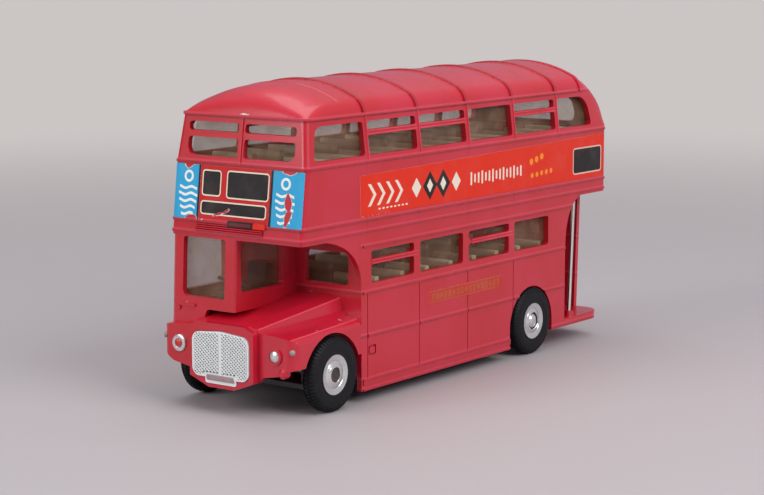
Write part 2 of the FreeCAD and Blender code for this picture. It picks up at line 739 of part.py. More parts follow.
def rear_panel():
    """The rear wall, from the cab side round its corner to the open platform."""
    edge = BODY_HALF_W - REAR_PANEL_EDGE
    front = PLATFORM_REAR_Y - REAR_CORNER_R - WALL
    shell = rear_block(0, front).cut(rear_block(WALL, front - OUTSIDE))
    return shell.common(box(-BODY_HALF_W, edge, front, REAR_Y, REAR_SKIRT_Z, DECK_Z))


def deck_plate():
    """The floor between the decks, thinner where it oversails the bonnet and the platform."""
    plan = plan_face(DECK_Z, BODY_HALF_W, FRONT_DECK_Y, REAR_Y, FRONT_CORNER_R, REAR_CORNER_R)
    middle = box(-BODY_HALF_W, BODY_HALF_W, BULKHEAD_Y, DOOR_Y, DECK_UNDER_Z, DECK_Z)
    return plan.extrude(V(0, 0, -DECK_LIP_T)).fuse(middle)


def platform():
    """The rear platform with its rounded outer corner and the boss that holds the pole."""
    points = rectangle(-BODY_INNER_X - FIT, BODY_HALF_W, DOOR_Y - WALL, PLATFORM_REAR_Y)
    slab = prism_z(points, [0, 0, PLATFORM_CORNER_R, WALL / 3], REAR_SKIRT_Z, PLATFORM_TOP_Z)
    foot = V(POLE_X, POLE_Y, PLATFORM_TOP_Z)
    return slab.fuse(Part.makeCone(POLE_BOSS_R * 1.25, POLE_BOSS_R, POLE_BOSS_H, foot))


def pole_rod(radius):
    """A rod along the leaning pole, level at both ends."""
    lean = POLE_LEAN / (POLE_TOP_Z - PLATFORM_TOP_Z)
    foot = V(POLE_X, POLE_Y - lean * OUTSIDE, PLATFORM_TOP_Z - OUTSIDE)
    head = V(POLE_X, POLE_Y + POLE_LEAN + lean * OUTSIDE, POLE_TOP_Z + OUTSIDE)
    level = box(0, BODY_HALF_W, NOSE_Y, REAR_Y, PLATFORM_TOP_Z, POLE_TOP_Z)
    return rod(radius, foot, head).common(level)


def cab_block(inset, z0, z1):
    """The cab's raked form between two heights, moved inwards by the inset."""
    x0, x1 = -BODY_HALF_W + inset, CAB_INNER_X - inset
    rake = (FRONT_DECK_Y - CAB_FRONT_Y) / (DECK_Z - WING_TOP_Z)
    front0 = CAB_FRONT_Y + rake * (z0 - WING_TOP_Z) + inset
    front1 = CAB_FRONT_Y + rake * (z1 - WING_TOP_Z) + inset
    rear = BULKHEAD_Y + WALL - inset
    block = prism_x([(front0, z0), (rear, z0), (rear, z1), (front1, z1)], [0] * 4, x0, x1)
    middle_y, middle_x = (front0 + rear) / 2, (x0 + x1) / 2
    outer_r = corner_radius(CAB_CORNER_R, inset)
    inner_r = corner_radius(CAB_INNER_R, inset)
    block = round_edges(block, outer_r, lambda p: p.y < middle_y and p.x < middle_x)
    return round_edges(block, inner_r, lambda p: p.y < middle_y and p.x > middle_x)


def cab():
    """The cab: raked front, both sides and floor, cut away below where the bonnet passes."""
    foot = WING_TOP_Z - WALL
    far, near = -BODY_HALF_W - OUTSIDE, CAB_INNER_X + OUTSIDE
    outline = [(far, foot), (-CAB_FOOT_HALF_W, foot), (-CAB_FLOOR_HALF_W, CAB_FLOOR_Z), (near, CAB_FLOOR_Z),
               (near, DECK_Z), (far, DECK_Z)]
    outer = cab_block(0, foot, DECK_Z - DECK_LIP_T).common(
        prism_y(outline, [0, WINDOW_R, CAB_CUT_R, 0, 0, 0], NOSE_Y, BULKHEAD_Y + WALL))
    under = cab_block(WALL, foot - OUTSIDE, CAB_FLOOR_Z)
    return outer.cut(under)


def clip_section(y, share, inset):
    """One cross-section of bonnet and wings; the share runs from 0 at the front to 1 at the bulkhead."""
    def between(front, rear):
        return front + (rear - front) * share - inset

    top = between(WING_TOP_Z, WING_REAR_TOP_Z)
    half = [(BODY_HALF_W - edge - inset, top - drop) for edge, drop in WING_EDGE]
    half += [(BODY_HALF_W - WING_CREST_EDGE - inset, top + WING_CREST_RISE),
             (between(BONNET_HALF_W + WING_GAP, BONNET_STEP_HALF_W), between(WING_INNER_Z, BONNET_STEP_Z)),
             (between(BONNET_HALF_W, BONNET_REAR_HALF_W), between(BONNET_CREASE_Z, BONNET_REAR_CREASE_Z)),
             (between(BONNET_FLAT_HALF_W, BONNET_REAR_FLAT_HALF_W), between(BONNET_TOP_Z, BONNET_REAR_TOP_Z))]
    low = NOSE_FOOT_Z - OUTSIDE
    foot = BODY_HALF_W - inset
    points = [(-foot, low), (foot, low)] + half + [(-x, z) for x, z in half[::-1]]
    return rounded_wire(points, [0] * len(points), on_y(y))


def clip_block(inset):
    """The outer form of bonnet, wings and nose, moved inwards by the inset."""
    front = WING_FRONT_Y + inset
    rear = BULKHEAD_Y + WALL / 2
    wings = Part.makeLoft([clip_section(front, 0, inset), clip_section(rear, 1, inset)], True, True)
    plan = rectangle(-BODY_HALF_W + inset, BODY_HALF_W - inset, front, rear)
    wing_r = corner_radius(WING_CORNER_R, inset)
    wings = wings.common(prism_z(plan, [wing_r, wing_r, 0, 0], 0, DECK_Z))
    return wings.fuse(nose_block(inset))


def nose_block(inset):
    """The radiator shell that stands ahead of the wings."""
    half_w = BONNET_HALF_W - inset
    crest = BONNET_FLAT_HALF_W - inset
    low = NOSE_FOOT_Z - OUTSIDE
    edge = BONNET_CREASE_Z - NOSE_EDGE_DROP - inset
    top = BONNET_TOP_Z - inset
    points = [(-half_w, low), (half_w, low), (half_w, edge), (crest, top), (-crest, top), (-half_w, edge)]
    radii = [0, 0, NOSE_EDGE_R, NOSE_CREST_R, NOSE_CREST_R, NOSE_EDGE_R]
    return prism_y(points, radii, NOSE_Y + GRILLE_PROUD + inset, WING_FRONT_Y + WALL + OUTSIDE)


def clip_foot_outline():
    """The front's lower edge seen from ahead: a dipped valance under the nose and cut-back wings."""
    reach = BODY_HALF_W + OUTSIDE
    half = [(NOSE_FOOT_HALF_W, NOSE_FOOT_Z), (BONNET_HALF_W, NOSE_FLANK_Z),
            (BONNET_HALF_W + WALL, WING_FOOT_Z - 2.0), (BODY_HALF_W - 3.2, WING_FOOT_Z - WALL),
            (BODY_HALF_W - 1.0, WING_FOOT_Z), (reach, WING_FOOT_Z + 0.4)]
    points = [(-x, z) for x, z in half[::-1]] + half + [(reach, DECK_Z), (-reach, DECK_Z)]
    radii = [0, 0.8, 0.6, 0.6, 0.6, 1.2, 1.2, 0.6, 0.6, 0.6, 0.8, 0, 0, 0]
    return prism_y(points, radii, NOSE_Y, BULKHEAD_Y + WALL)


def front_clip():
    """Bonnet, wings and nose as one thin casting, open below, with room for the base."""
    outer = clip_block(0).common(clip_foot_outline())
    half_w = SADDLE_X + FIT
    base_room = box(-half_w, half_w, WING_FRONT_Y + WALL, BULKHEAD_Y + OUTSIDE, 0, AXLE_Z + SADDLE_H + FIT)
    return outer.cut(clip_block(WALL)).cut(base_room)


def lamp(x, z, radius, bezel_r, proud):
    """A round lamp on a wing's front: a bezel ring and a domed glass."""
    face_y = WING_FRONT_Y
    seat = V(x, face_y + WALL / 2, z)
    bezel = rod(bezel_r, seat, V(x, face_y - proud, z))
    bezel = bezel.cut(rod(radius, V(x, face_y - proud / 4, z), V(x, face_y - proud - OUTSIDE, z)))
    dome_r = radius * 1.35
    sink = math.sqrt(dome_r ** 2 - (radius * 0.96) ** 2)
    dome = Part.makeSphere(dome_r, V(x, face_y - proud / 4 + sink, z))
    return bezel.fuse(dome.common(rod(radius * 0.96, seat, V(x, face_y - dome_r, z))))


def front_lamps():
    """Two headlamps, two side lamps and the small boss under the door-side headlamp."""
    pieces = []
    turn = math.radians(SIDE_LAMP_TURN)
    for side in (-1, 1):
        pieces.append(lamp(side * LAMP_X, LAMP_Z, LAMP_R, LAMP_BEZEL_R, LAMP_PROUD))
        ahead = V(side * math.cos(turn), -math.sin(turn), 0)
        corner = V(side * (BODY_HALF_W - WING_CORNER_R), WING_FRONT_Y + WING_CORNER_R, SIDE_LAMP_Z)
        face = corner + ahead * WING_CORNER_R
        pieces.append(rod(SIDE_LAMP_R, face - ahead * WALL / 2, face + ahead * LAMP_PROUD))
    x = BODY_HALF_W - FOG_EDGE
    pieces.append(rod(FOG_R, V(x, WING_FRONT_Y + WALL, FOG_Z), V(x, WING_FRONT_Y, FOG_Z)))
    tip = Part.makeCone(FOG_R, FOG_R / 2, LAMP_PROUD, V(x, WING_FRONT_Y, FOG_Z), V(0, -1, 0))
    pieces.append(tip)
    return pieces


def bulkhead():
    """The wall between the cab or bonnet and the lower saloon."""
    wall = box(-BODY_INNER_X - FIT, BODY_INNER_X + FIT, BULKHEAD_Y, BULKHEAD_Y + WALL, BASE_Z + BASE_T + FIT,
               DECK_Z - DECK_LIP_T)
    light = rectangle(BULKHEAD_LIGHT_X, BODY_HALF_W - BULKHEAD_LIGHT_EDGE, LOWER_SILL_Z - 0.4,
                      DECK_Z - BULKHEAD_LIGHT_HEAD_DROP)
    return wall.cut(prism_y(light, [0.9] * 4, BULKHEAD_Y - OUTSIDE, BULKHEAD_Y + WALL + OUTSIDE))


def lower_bay(bay):
    """Front and rear edge of a lower window; the last one stops short of the platform's post."""
    start = FIRST_PILLAR_Y + BAY_PITCH * bay
    front = max(start, BULKHEAD_Y + LOWER_PILLAR_W + WALL) if bay == 0 else start
    end = start + BAY_PITCH - LOWER_PILLAR_W
    return front, end - (LOWER_PILLAR_W - WALL / 2 if bay == BAYS - 1 else 0)


def lower_cuts():
    """Every window of the lower deck and the cab."""
    reach = BODY_HALF_W + OUTSIDE
    cuts = []
    for bay in range(BAYS):
        start, end = lower_bay(bay)
        cuts += side_cut(start, end, LOWER_SILL_Z, LOWER_HEAD_Z, WINDOW_R, bay in (0, 2))
    screen = rectangle(-BODY_HALF_W + SCREEN_OUTER, CAB_INNER_X - SCREEN_INNER, CAB_SILL_Z,
                       DECK_Z - SCREEN_HEAD_DROP)
    radii = [SCREEN_R, WINDOW_R, WINDOW_R, WINDOW_R]
    cuts.append(prism_y(screen, radii, CAB_FRONT_Y - OUTSIDE, FRONT_DECK_Y + WALL + OUTSIDE))
    head = DECK_Z - CAB_LIGHT_HEAD_DROP
    light = rectangle(CAB_FRONT_Y + CAB_LIGHT_FRONT, BULKHEAD_Y - CAB_LIGHT_REAR, CAB_LIGHT_SILL_Z, head)
    cuts.append(prism_x(light, [WINDOW_R] * 4, CAB_INNER_X - WALL - FIT, CAB_INNER_X + OUTSIDE))
    far = rectangle(CAB_FRONT_Y + CAB_DOOR_FRONT, BULKHEAD_Y - CAB_DOOR_REAR, CAB_SILL_Z + CAB_DOOR_SILL, head)
    radii = [WINDOW_R, WINDOW_R, CAB_DOOR_R, WINDOW_R]
    cuts.append(prism_x(far, radii, -reach, -BODY_INNER_X + FIT))
    return cuts


def seam_places():
    """Where the side's upright panel seams are: at the front edges of the lower windows."""
    return [FIRST_PILLAR_Y + BAY_PITCH * bay - LOWER_PILLAR_W / 8 for bay in range(BAYS)]


def side_lines():
    """Raised lines along the lower sides: skirt strip, low line, sill line and lintel line."""
    lines = []
    for side in (-1, 1):
        x0, x1 = sorted((side * (BODY_HALF_W - BEAD_PROUD), side * (BODY_HALF_W + BEAD_PROUD)))
        rear = PLATFORM_REAR_Y - REAR_CORNER_R if side < 0 else DOOR_Y
        front = BULKHEAD_Y + WALL / 2
        arch = REAR_AXLE_Y - ARCH_AHEAD - REAR_ARCH_R
        for z in (SILL_LINE_Z, LINTEL_LINE_Z):
            lines.append(box(x0, x1, front, rear, z - BEAD_H / 2, z + BEAD_H / 2))
        stops = [front + WALL] + seam_places()[1:] + [rear]
        for start, end in zip(stops, stops[1:]):
            lines.append(box(x0, x1, start + BEAD_H / 2, end - BEAD_H / 2, LOW_LINE_Z - BEAD_H / 2,
                             LOW_LINE_Z + BEAD_H / 2))
        strip_z = SKIRT_Z + SKIRT_STRIP_RISE
        lines.append(box(x0, x1, front, arch, strip_z, strip_z + SKIRT_STRIP_H))
        lines.append(box(x0, x1, front, arch, SKIRT_Z, SKIRT_Z + BEAD_H))
    return lines


def panel_marks():
    """Shallow cuts in the lower sides: upright seams, and the recess of the filler cap on the door side."""
    marks = []
    foot = SKIRT_Z + SKIRT_STRIP_RISE + SKIRT_STRIP_H
    for side in (-1, 1):
        x0, x1 = sorted((side * (BODY_HALF_W - SEAM_DEPTH), side * (BODY_HALF_W + OUTSIDE)))
        for y in seam_places():
            marks.append(box(x0, x1, y - SEAM_W / 2, y + SEAM_W / 2, foot, SILL_LINE_Z - BEAD_H / 2))
    front = BULKHEAD_Y + 2 * WALL
    head = LOW_LINE_Z - FILLER_DROP
    recess = rectangle(front, front + FILLER_W, head - FILLER_H, head)
    cap = rectangle(front + FILLER_RIM, front + FILLER_W - FILLER_RIM, head - FILLER_H + FILLER_RIM,
                    head - FILLER_RIM)
    recess = prism_x(recess, [FILLER_RIM] * 4, BODY_HALF_W - WALL / 3, BODY_HALF_W + OUTSIDE)
    marks.append(recess.cut(prism_x(cap, [FILLER_RIM] * 4, BODY_HALF_W - WALL / 2, BODY_HALF_W)))
    return marks


def cab_trim():
    """A small raised plate and a round boss on the cab's front, beside the bonnet."""
    x = TRIM_EDGE - BODY_HALF_W
    front = CAB_FRONT_Y - BEAD_PROUD
    seat = CAB_FRONT_Y + WALL / 2
    plate = box(x, x + TRIM_W, front, seat, CAB_FLOOR_Z + BEAD_H / 2, CAB_FLOOR_Z + BEAD_H / 2 + TRIM_H)
    z = CAB_FLOOR_Z - BEAD_H / 2
    boss = rod(TRIM_BOSS_R, V(x - 2 * TRIM_BOSS_R, seat, z), V(x - 2 * TRIM_BOSS_R, front, z))
    return [plate, boss]


def make_lower_body():
    """Lower casting: sides, bulkhead, cab, bonnet, wings, rear wall, deck and platform."""
    pieces = [far_side_panel(), rear_panel(), deck_plate(), platform(), cab(), front_clip(), bulkhead()]
    body = door_side_panel().multiFuse(pieces + side_lines() + front_lamps() + cab_trim())
    body = body.cut(cab_block(WALL, CAB_FLOOR_Z + CAB_FLOOR_T, DECK_Z - DECK_LIP_T))
    body = body.cut(grille_outline(FIT, NOSE_Y - OUTSIDE, NOSE_Y + GRILLE_T))
    body = body.cut(plate_outline(FIT, NOSE_Y - OUTSIDE, NOSE_Y + GRILLE_T))
    cuts = lower_cuts() + panel_marks() + arch_cut(FRONT_AXLE_Y, FRONT_ARCH_R, TYRE_W + WALL)
    cuts += arch_cut(REAR_AXLE_Y, REAR_ARCH_R, WALL + FIT)
    body = body.cut(Part.makeCompound(cuts))
    return body.cut(pole_rod(POLE_R + BEARING_GAP))


# Radiator grille


def mesh_cells(x0, x1, z0, z1, y):
    """Outlines of the diamond cells of one pane, only those that lie whole inside it."""
    cells = []
    half_x = (MESH_PITCH_X - MESH_BAR_W) / 2
    half_z = half_x * MESH_PITCH_Z / MESH_PITCH_X
    rows = int((z1 - z0) / (MESH_PITCH_Z / 2)) + 1
    columns = int((x1 - x0) / MESH_PITCH_X) + 1
    spare = ((x1 - x0) - (columns - 1) * MESH_PITCH_X - 2 * half_x) / 2
    for row in range(rows):
        z = z0 + half_z + row * MESH_PITCH_Z / 2
        shift = MESH_PITCH_X / 2 if row % 2 else 0
        for column in range(columns):
            x = x0 + spare + half_x + shift + column * MESH_PITCH_X
            if x + half_x > x1 or x - half_x < x0 or z + half_z > z1:
                continue
            corner = max(0.0, abs(x) + half_x - (GRILLE_HALF_W - GRILLE_CORNER_R))
            if corner > 0 and z - half_z < z0 + corner * 0.6:
                continue
            points = [V(x - half_x, y, z), V(x, y, z - half_z), V(x + half_x, y, z), V(x, y, z + half_z)]
            cells.append(Part.makePolygon(points + [points[0]]))
    return cells


def grille_outline(grow, y0, y1):
    """The grille's outer form, grown evenly by a clearance."""
    half_w = GRILLE_HALF_W + grow
    shoulder = GRILLE_TOP_Z - GRILLE_CROWN + grow
    outline = [(-half_w, GRILLE_FOOT_Z - grow), (half_w, GRILLE_FOOT_Z - grow), (half_w, shoulder),
               (0, shoulder + GRILLE_CROWN), (-half_w, shoulder)]
    corner = GRILLE_CORNER_R + grow
    return prism_y(outline, [corner, corner, corner, GRILLE_HALF_W, corner], y0, y1)


def plate_outline(grow, y0, y1):
    """The blank plate that hangs under the grille, grown evenly by a clearance."""
    top = GRILLE_FOOT_Z + GRILLE_FRAME_W / 2
    low = GRILLE_FOOT_Z - PLATE_H
    half_w = PLATE_HALF_W + grow
    corner = PLATE_CORNER_R + grow
    return prism_y(rectangle(-half_w, half_w, low - grow, top), [corner, corner, 0, 0], y0, y1)


def make_grille():
    """Silver radiator grille: frame, centre bar, two panes of diamond mesh and the blank plate."""
    y0 = NOSE_Y
    y1 = NOSE_Y + GRILLE_T
    sink = GRILLE_PROUD / 2
    grille = grille_outline(0, y0, y1)
    foot = GRILLE_FOOT_Z + GRILLE_FRAME_W
    head = GRILLE_TOP_Z - GRILLE_CROWN - GRILLE_FRAME_W
    for side in (-1, 1):
        x0, x1 = sorted((side * GRILLE_BAR_W / 2, side * (GRILLE_HALF_W - GRILLE_FRAME_W)))
        outer_r = GRILLE_CORNER_R - GRILLE_FRAME_W / 2
        inner_r = GRILLE_BAR_W / 3
        radii = [inner_r, outer_r, outer_r, inner_r] if side > 0 else [outer_r, inner_r, inner_r, outer_r]
        pane = prism_y(rectangle(x0, x1, foot, head), radii, y0 - OUTSIDE, y0 + sink)
        grille = grille.cut(pane)
        gap = MESH_BAR_W / 2
        cells = mesh_cells(x0 + gap, x1 - gap, foot + gap, head - gap, y0 + sink - FIT)
        pockets = [Part.Face(c).extrude(V(0, MESH_DEPTH + FIT, 0)) for c in cells]
        grille = grille.cut(Part.makeCompound(pockets))
    tab = plate_outline(0, y0 + sink, y1)
    return grille.fuse(tab).removeSplitter()


# Wheels


def revolve_x(points, side, axle_y):
    """A profile in (distance from the wheel's outer face, radius) turned about the axle."""
    placed = [V(side * (TYRE_FACE_X - p[0]), axle_y, AXLE_Z + p[1]) for p in points]
    face = Part.Face(Part.makePolygon(placed + [placed[0]]))
    return face.revolve(V(0, axle_y, AXLE_Z), V(1, 0, 0), 360)


def make_tyre(side, axle_y):
    """A smooth rubber tyre: flat outer wall, sloped shoulder, narrow crown and dished inner wall."""
    shoulder = (TYRE_W - TYRE_CROWN_W) / 2
    points = [(0.0, RIM_R), (0.0, TYRE_R - TYRE_SHOULDER_DROP), (shoulder, TYRE_R),
              (shoulder + TYRE_CROWN_W, TYRE_R), (TYRE_W, RIM_R)]
    return revolve_x(points, side, axle_y)


def make_hub(side, axle_y):
    """A turned metal hub: a flat bright ring set back in the tyre, a well in its middle, a boss behind."""
    well = HUB_RECESS + HUB_WELL_DEPTH
    back = TYRE_W - HUB_WELL_DEPTH
    boss = TYRE_W + HUB_BOSS_L
    points = [(well, AXLE_R), (well, HUB_WELL_R), (HUB_RECESS + FIT, HUB_WELL_R + HUB_WELL_EDGE),
              (HUB_RECESS, RIM_R - RIM_BEVEL), (HUB_RECESS + RIM_BEVEL, RIM_R), (back, RIM_R),
              (back, HUB_BOSS_R), (boss, HUB_BOSS_R), (boss, AXLE_R)]
    return revolve_x(points, side, axle_y)


def make_axle(axle_y, reach, riveted):
    """A steel rod pressed into its two hubs, with or without riveted heads in the hubs' wells."""
    axle = rod(AXLE_R, V(-reach, axle_y, AXLE_Z), V(reach, axle_y, AXLE_Z))
    if not riveted:
        return axle
    for side in (-1, 1):
        seat = V(side * HUB_WELL_X, axle_y, AXLE_Z)
        axle = axle.fuse(Part.makeCone(RIVET_R, RIVET_R * 0.7, RIVET_H, seat, V(side, 0, 0)))
    return axle.removeSplitter()


# Inside and below


def seat_row(x0, x1, y, floor_z, cushion_z, back_z):
    """One double seat: a cushion block and a back that leans away from it."""
    seat_y = y + SEAT_DEPTH
    back_y = seat_y + SEAT_BACK_T
    points = [(y, floor_z), (back_y, floor_z), (back_y + SEAT_LEAN, back_z), (seat_y + SEAT_LEAN, back_z),
              (seat_y, cushion_z), (y, cushion_z)]
    return prism_x(points, [0, 0, SEAT_EDGE_R, SEAT_EDGE_R, 0, SEAT_EDGE_R], x0, x1)


def seat_rows(start, end):
    """The front edge of each row that fits between two places."""
    row_depth = SEAT_DEPTH + SEAT_BACK_T + SEAT_LEAN
    count = int((end - start - row_depth) / SEAT_PITCH) + 1
    return [start + SEAT_PITCH * i for i in range(count)]


def make_upper_seats():
    """Cream moulding of the upper floor with its rows of seats."""
    inset = WALL + FIT
    plan = plan_face(DECK_Z, BODY_HALF_W - inset, FRONT_DECK_Y + inset + PANEL_RAKE / 4, REAR_Y - inset,
                     corner_radius(FRONT_CORNER_R, inset), corner_radius(REAR_CORNER_R, inset))
    outer = BODY_INNER_X - GLASS_T - SEAT_GAP
    top = DECK_Z + FLOOR_T
    pieces = [plan.extrude(V(0, 0, FLOOR_T))]
    for y in seat_rows(FRONT_GUTTER_Y + WALL + GLASS_T + SEAT_GAP, REAR_Y - LAST_LIGHT_EDGE):
        for x0, x1 in ((-outer, -AISLE_HALF_W), (AISLE_HALF_W, outer)):
            pieces.append(seat_row(x0, x1, y, top - FIT, top + CUSHION_H, UPPER_SILL_Z - FIT))
    return fuse_all(pieces)


def make_lower_seats():
    """Cream moulding of the lower saloon floor with its seats, and the stairs up from the platform."""
    floor_z = AXLE_Z + SEAT_STEP_H
    step_z = floor_z + SEAT_STEP_H
    front = BULKHEAD_Y + WALL + FIT
    rear = DOOR_Y - WALL - FIT
    outer = BODY_INNER_X - GLASS_T - SEAT_GAP
    pieces = [box(-AISLE_HALF_W, AISLE_HALF_W, front, rear, floor_z, floor_z + FLOOR_T)]
    for side in (-1, 1):
        x0, x1 = sorted((side * AISLE_HALF_W, side * outer))
        pieces.append(box(x0, x1, front, rear, step_z, step_z + FLOOR_T))
        x0, x1 = sorted((side * AISLE_HALF_W, side * (AISLE_HALF_W + FLOOR_T)))
        pieces.append(box(x0, x1, front, rear, floor_z, step_z + FLOOR_T))
        x0, x1 = sorted((side * AISLE_HALF_W, side * outer))
        for y in seat_rows(front + GLASS_T + SEAT_GAP, rear):
            pieces.append(seat_row(x0, x1, y, step_z, floor_z + LOWER_CUSHION_H, LOWER_SILL_Z + BEAD_H))
    for i in range(STAIRS):
        start = rear - FLOOR_T + STAIR_RUN * i
        height = STAIR_RISE * (STAIRS - i)
        pieces.append(box(-outer, -outer + STAIR_W, start, rear + STAIR_RUN * (i + 1), PLATFORM_TOP_Z,
                          PLATFORM_TOP_Z + height))
    return fuse_all(pieces)


def make_upper_glazing():
    """Clear moulding that lines the upper windows all round."""
    z0, z1 = UPPER_SILL_Z - GLASS_T, UPPER_HEAD_Z + GLASS_T / 2
    lean = TUMBLEHOME / WINDOW_BAND_H
    rake = WINDOW_RAKE / WINDOW_BAND_H

    def liner(inset):
        ends = []
        for z in (z0, z1):
            rise = (z - BELT_Z) / (ROOF_Z - BELT_Z)
            rear = REAR_DOME_Y + REAR_DOME * math.sqrt(1 - rise * rise)
            front = FRONT_BELT_Y + rake * (z - BELT_Z)
            ends.append((z, BODY_HALF_W - lean * (z - BELT_Z) - inset, front + inset, rear - inset))
        return raked_block(ends[0], ends[1], corner_radius(FRONT_CORNER_R, inset),
                           corner_radius(REAR_CORNER_R, inset))

    walls = liner(WALL + FIT * 2).cut(liner(WALL + FIT * 2 + GLASS_T))
    return walls.common(upper_void(WALL + FIT))


def make_saloon_glazing():
    """Clear strips behind the lower side windows."""
    front = BULKHEAD_Y + WALL + 2 * FIT
    strips = []
    for side in (-1, 1):
        x0, x1 = sorted((side * (BODY_INNER_X - FIT), side * (BODY_INNER_X - FIT - GLASS_T)))
        strips.append(box(x0, x1, front, DOOR_Y - WALL * 2, LOWER_SILL_Z - GLASS_T, LOWER_HEAD_Z + GLASS_T))
    return Part.makeCompound(strips)


def make_cab_glazing():
    """Clear moulding that lines the cab's front and sides, and the pane of the bulkhead's light."""
    z0, z1 = CAB_SILL_Z - GLASS_T, DECK_Z - DECK_LIP_T - FIT
    inset = WALL + FIT
    liner = cab_block(inset, z0, z1).cut(cab_block(inset + GLASS_T, z0 - OUTSIDE, z1 + OUTSIDE))
    front_part = box(-BODY_HALF_W, CAB_INNER_X, NOSE_Y, BULKHEAD_Y - WALL, z0, z1)
    y = BULKHEAD_Y + WALL + FIT
    x1 = BODY_HALF_W - BULKHEAD_LIGHT_EDGE + GLASS_T
    pane = box(BULKHEAD_LIGHT_X - GLASS_T, x1, y, y + GLASS_T, LOWER_SILL_Z - GLASS_T, LOWER_HEAD_Z + GLASS_T)
    return Part.makeCompound([liner.common(front_part), pane])


def ring_points(radius, count=12):
    """Corner points of a regular ring."""
    turns = [2 * math.pi * i / count for i in range(count)]
    return [(radius * math.cos(t), radius * math.sin(t)) for t in turns]


def make_cab_fittings():
    """The driver's seat and steering wheel on a thin plate that lies on the cab's floor."""
    floor_z = CAB_FLOOR_Z + CAB_FLOOR_T
    middle = (-BODY_INNER_X + CAB_INNER_X - WALL) / 2
    side = CAB_PLATE_W / 2
    plate = box(middle - side, middle + side, BULKHEAD_Y - CAB_PLATE_L, BULKHEAD_Y - FIT, floor_z,
                floor_z + CAB_PLATE_T)
    side = DRIVER_SEAT_W / 2
    seat = seat_row(middle - side, middle + side, BULKHEAD_Y - DRIVER_SEAT_ROOM, floor_z,
                    floor_z + DRIVER_CUSHION_H, floor_z + DRIVER_BACK_H)
    foot = V(middle, BULKHEAD_Y - COLUMN_AHEAD, floor_z + CAB_PLATE_T / 2)
    head = V(middle, BULKHEAD_Y - COLUMN_AHEAD + COLUMN_LEAN, floor_z + COLUMN_H)
    column = rod(COLUMN_R, foot, head)
    inner = STEERING_R - STEERING_RIM
    half = STEERING_RIM / 2
    rim = ring_points(STEERING_R)
    hole = ring_points(inner)
    wheel = prism_z(rim, [0] * len(rim), -half, half).cut(prism_z(hole, [0] * len(hole), -OUTSIDE, OUTSIDE))
    wheel = wheel.fuse(box(-inner - FIT, inner + FIT, -COLUMN_R, COLUMN_R, -half, half))
    wheel.rotate(V(0, 0, 0), V(1, 0, 0), -math.degrees(math.atan2(COLUMN_LEAN, COLUMN_H)))
    wheel.translate(head)
    return fuse_all([plate, seat, column, wheel])


def make_pole():
    """Bright platform pole from its boss up to the deck above."""
    return pole_rod(POLE_R)


def make_base():
    """Black pressed base with saddles that carry the axles."""
    front = FRONT_AXLE_Y - SADDLE_H - WALL
    rear = DOOR_Y - WALL - FIT
    wide = BODY_INNER_X - FIT
    front_end = FRONT_AXLE_Y + FRONT_ARCH_R
    rear_start = REAR_AXLE_Y - REAR_ARCH_R
    rear_end = REAR_AXLE_Y + REAR_ARCH_R
    pieces = [box(-SADDLE_X, SADDLE_X, front, rear, BASE_Z, BASE_Z + BASE_T),
              box(-wide, wide, max(front_end, BULKHEAD_Y + WALL) + FIT, rear_start, BASE_Z, BASE_Z + BASE_T),
              box(-wide, wide, rear_end, rear, BASE_Z, BASE_Z + BASE_T)]
    for axle_y in (FRONT_AXLE_Y, REAR_AXLE_Y):
        for x in (-SADDLE_X, SADDLE_X - SADDLE_W):
            saddle = box(x, x + SADDLE_W, axle_y - SADDLE_H, axle_y + SADDLE_H, BASE_Z, AXLE_Z + SADDLE_H)
            pieces.append(saddle)
    base = fuse_all(pieces)
    reach = SADDLE_X + OUTSIDE
    for axle_y in (FRONT_AXLE_Y, REAR_AXLE_Y):
        base = base.cut(rod(AXLE_R + BEARING_GAP, V(-reach, axle_y, AXLE_Z), V(reach, axle_y, AXLE_Z)))
    return base


def main():
    """Builds and writes every sub-part."""
    os.makedirs("parts", exist_ok=True)
    save("upper_body", make_upper_body())
    save("lower_body", make_lower_body())
    save("base_plate", make_base())
    save("radiator_grille", make_grille())
    save("upper_seats", make_upper_seats())
    save("lower_seats", make_lower_seats())
    save("upper_glazing", make_upper_glazing())
    save("saloon_glazing", make_saloon_glazing())
    save("cab_glazing", make_cab_glazing())
    save("cab_fittings", make_cab_fittings())
    save("platform_pole", make_pole())
    ends = (("front", FRONT_AXLE_Y, HUB_WELL_X - HUB_WELL_DEPTH, False),
            ("rear", REAR_AXLE_Y, HUB_WELL_X, True))
    for end, axle_y, reach, riveted in ends:
        save(end + "_axle", make_axle(axle_y, reach, riveted))
        for name, side in (("offside", -1), ("nearside", 1)):
            save("%s_%s_hub" % (end, name), make_hub(side, axle_y))
            save("%s_%s_tyre" % (end, name), make_tyre(side, axle_y))


main()
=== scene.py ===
import logging
import math
import random
from dataclasses import dataclass, field
from enum import Enum
from typing import Callable, Sequence

import bmesh
import bpy
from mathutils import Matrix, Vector
from mathutils.geometry import delaunay_2d_cdt


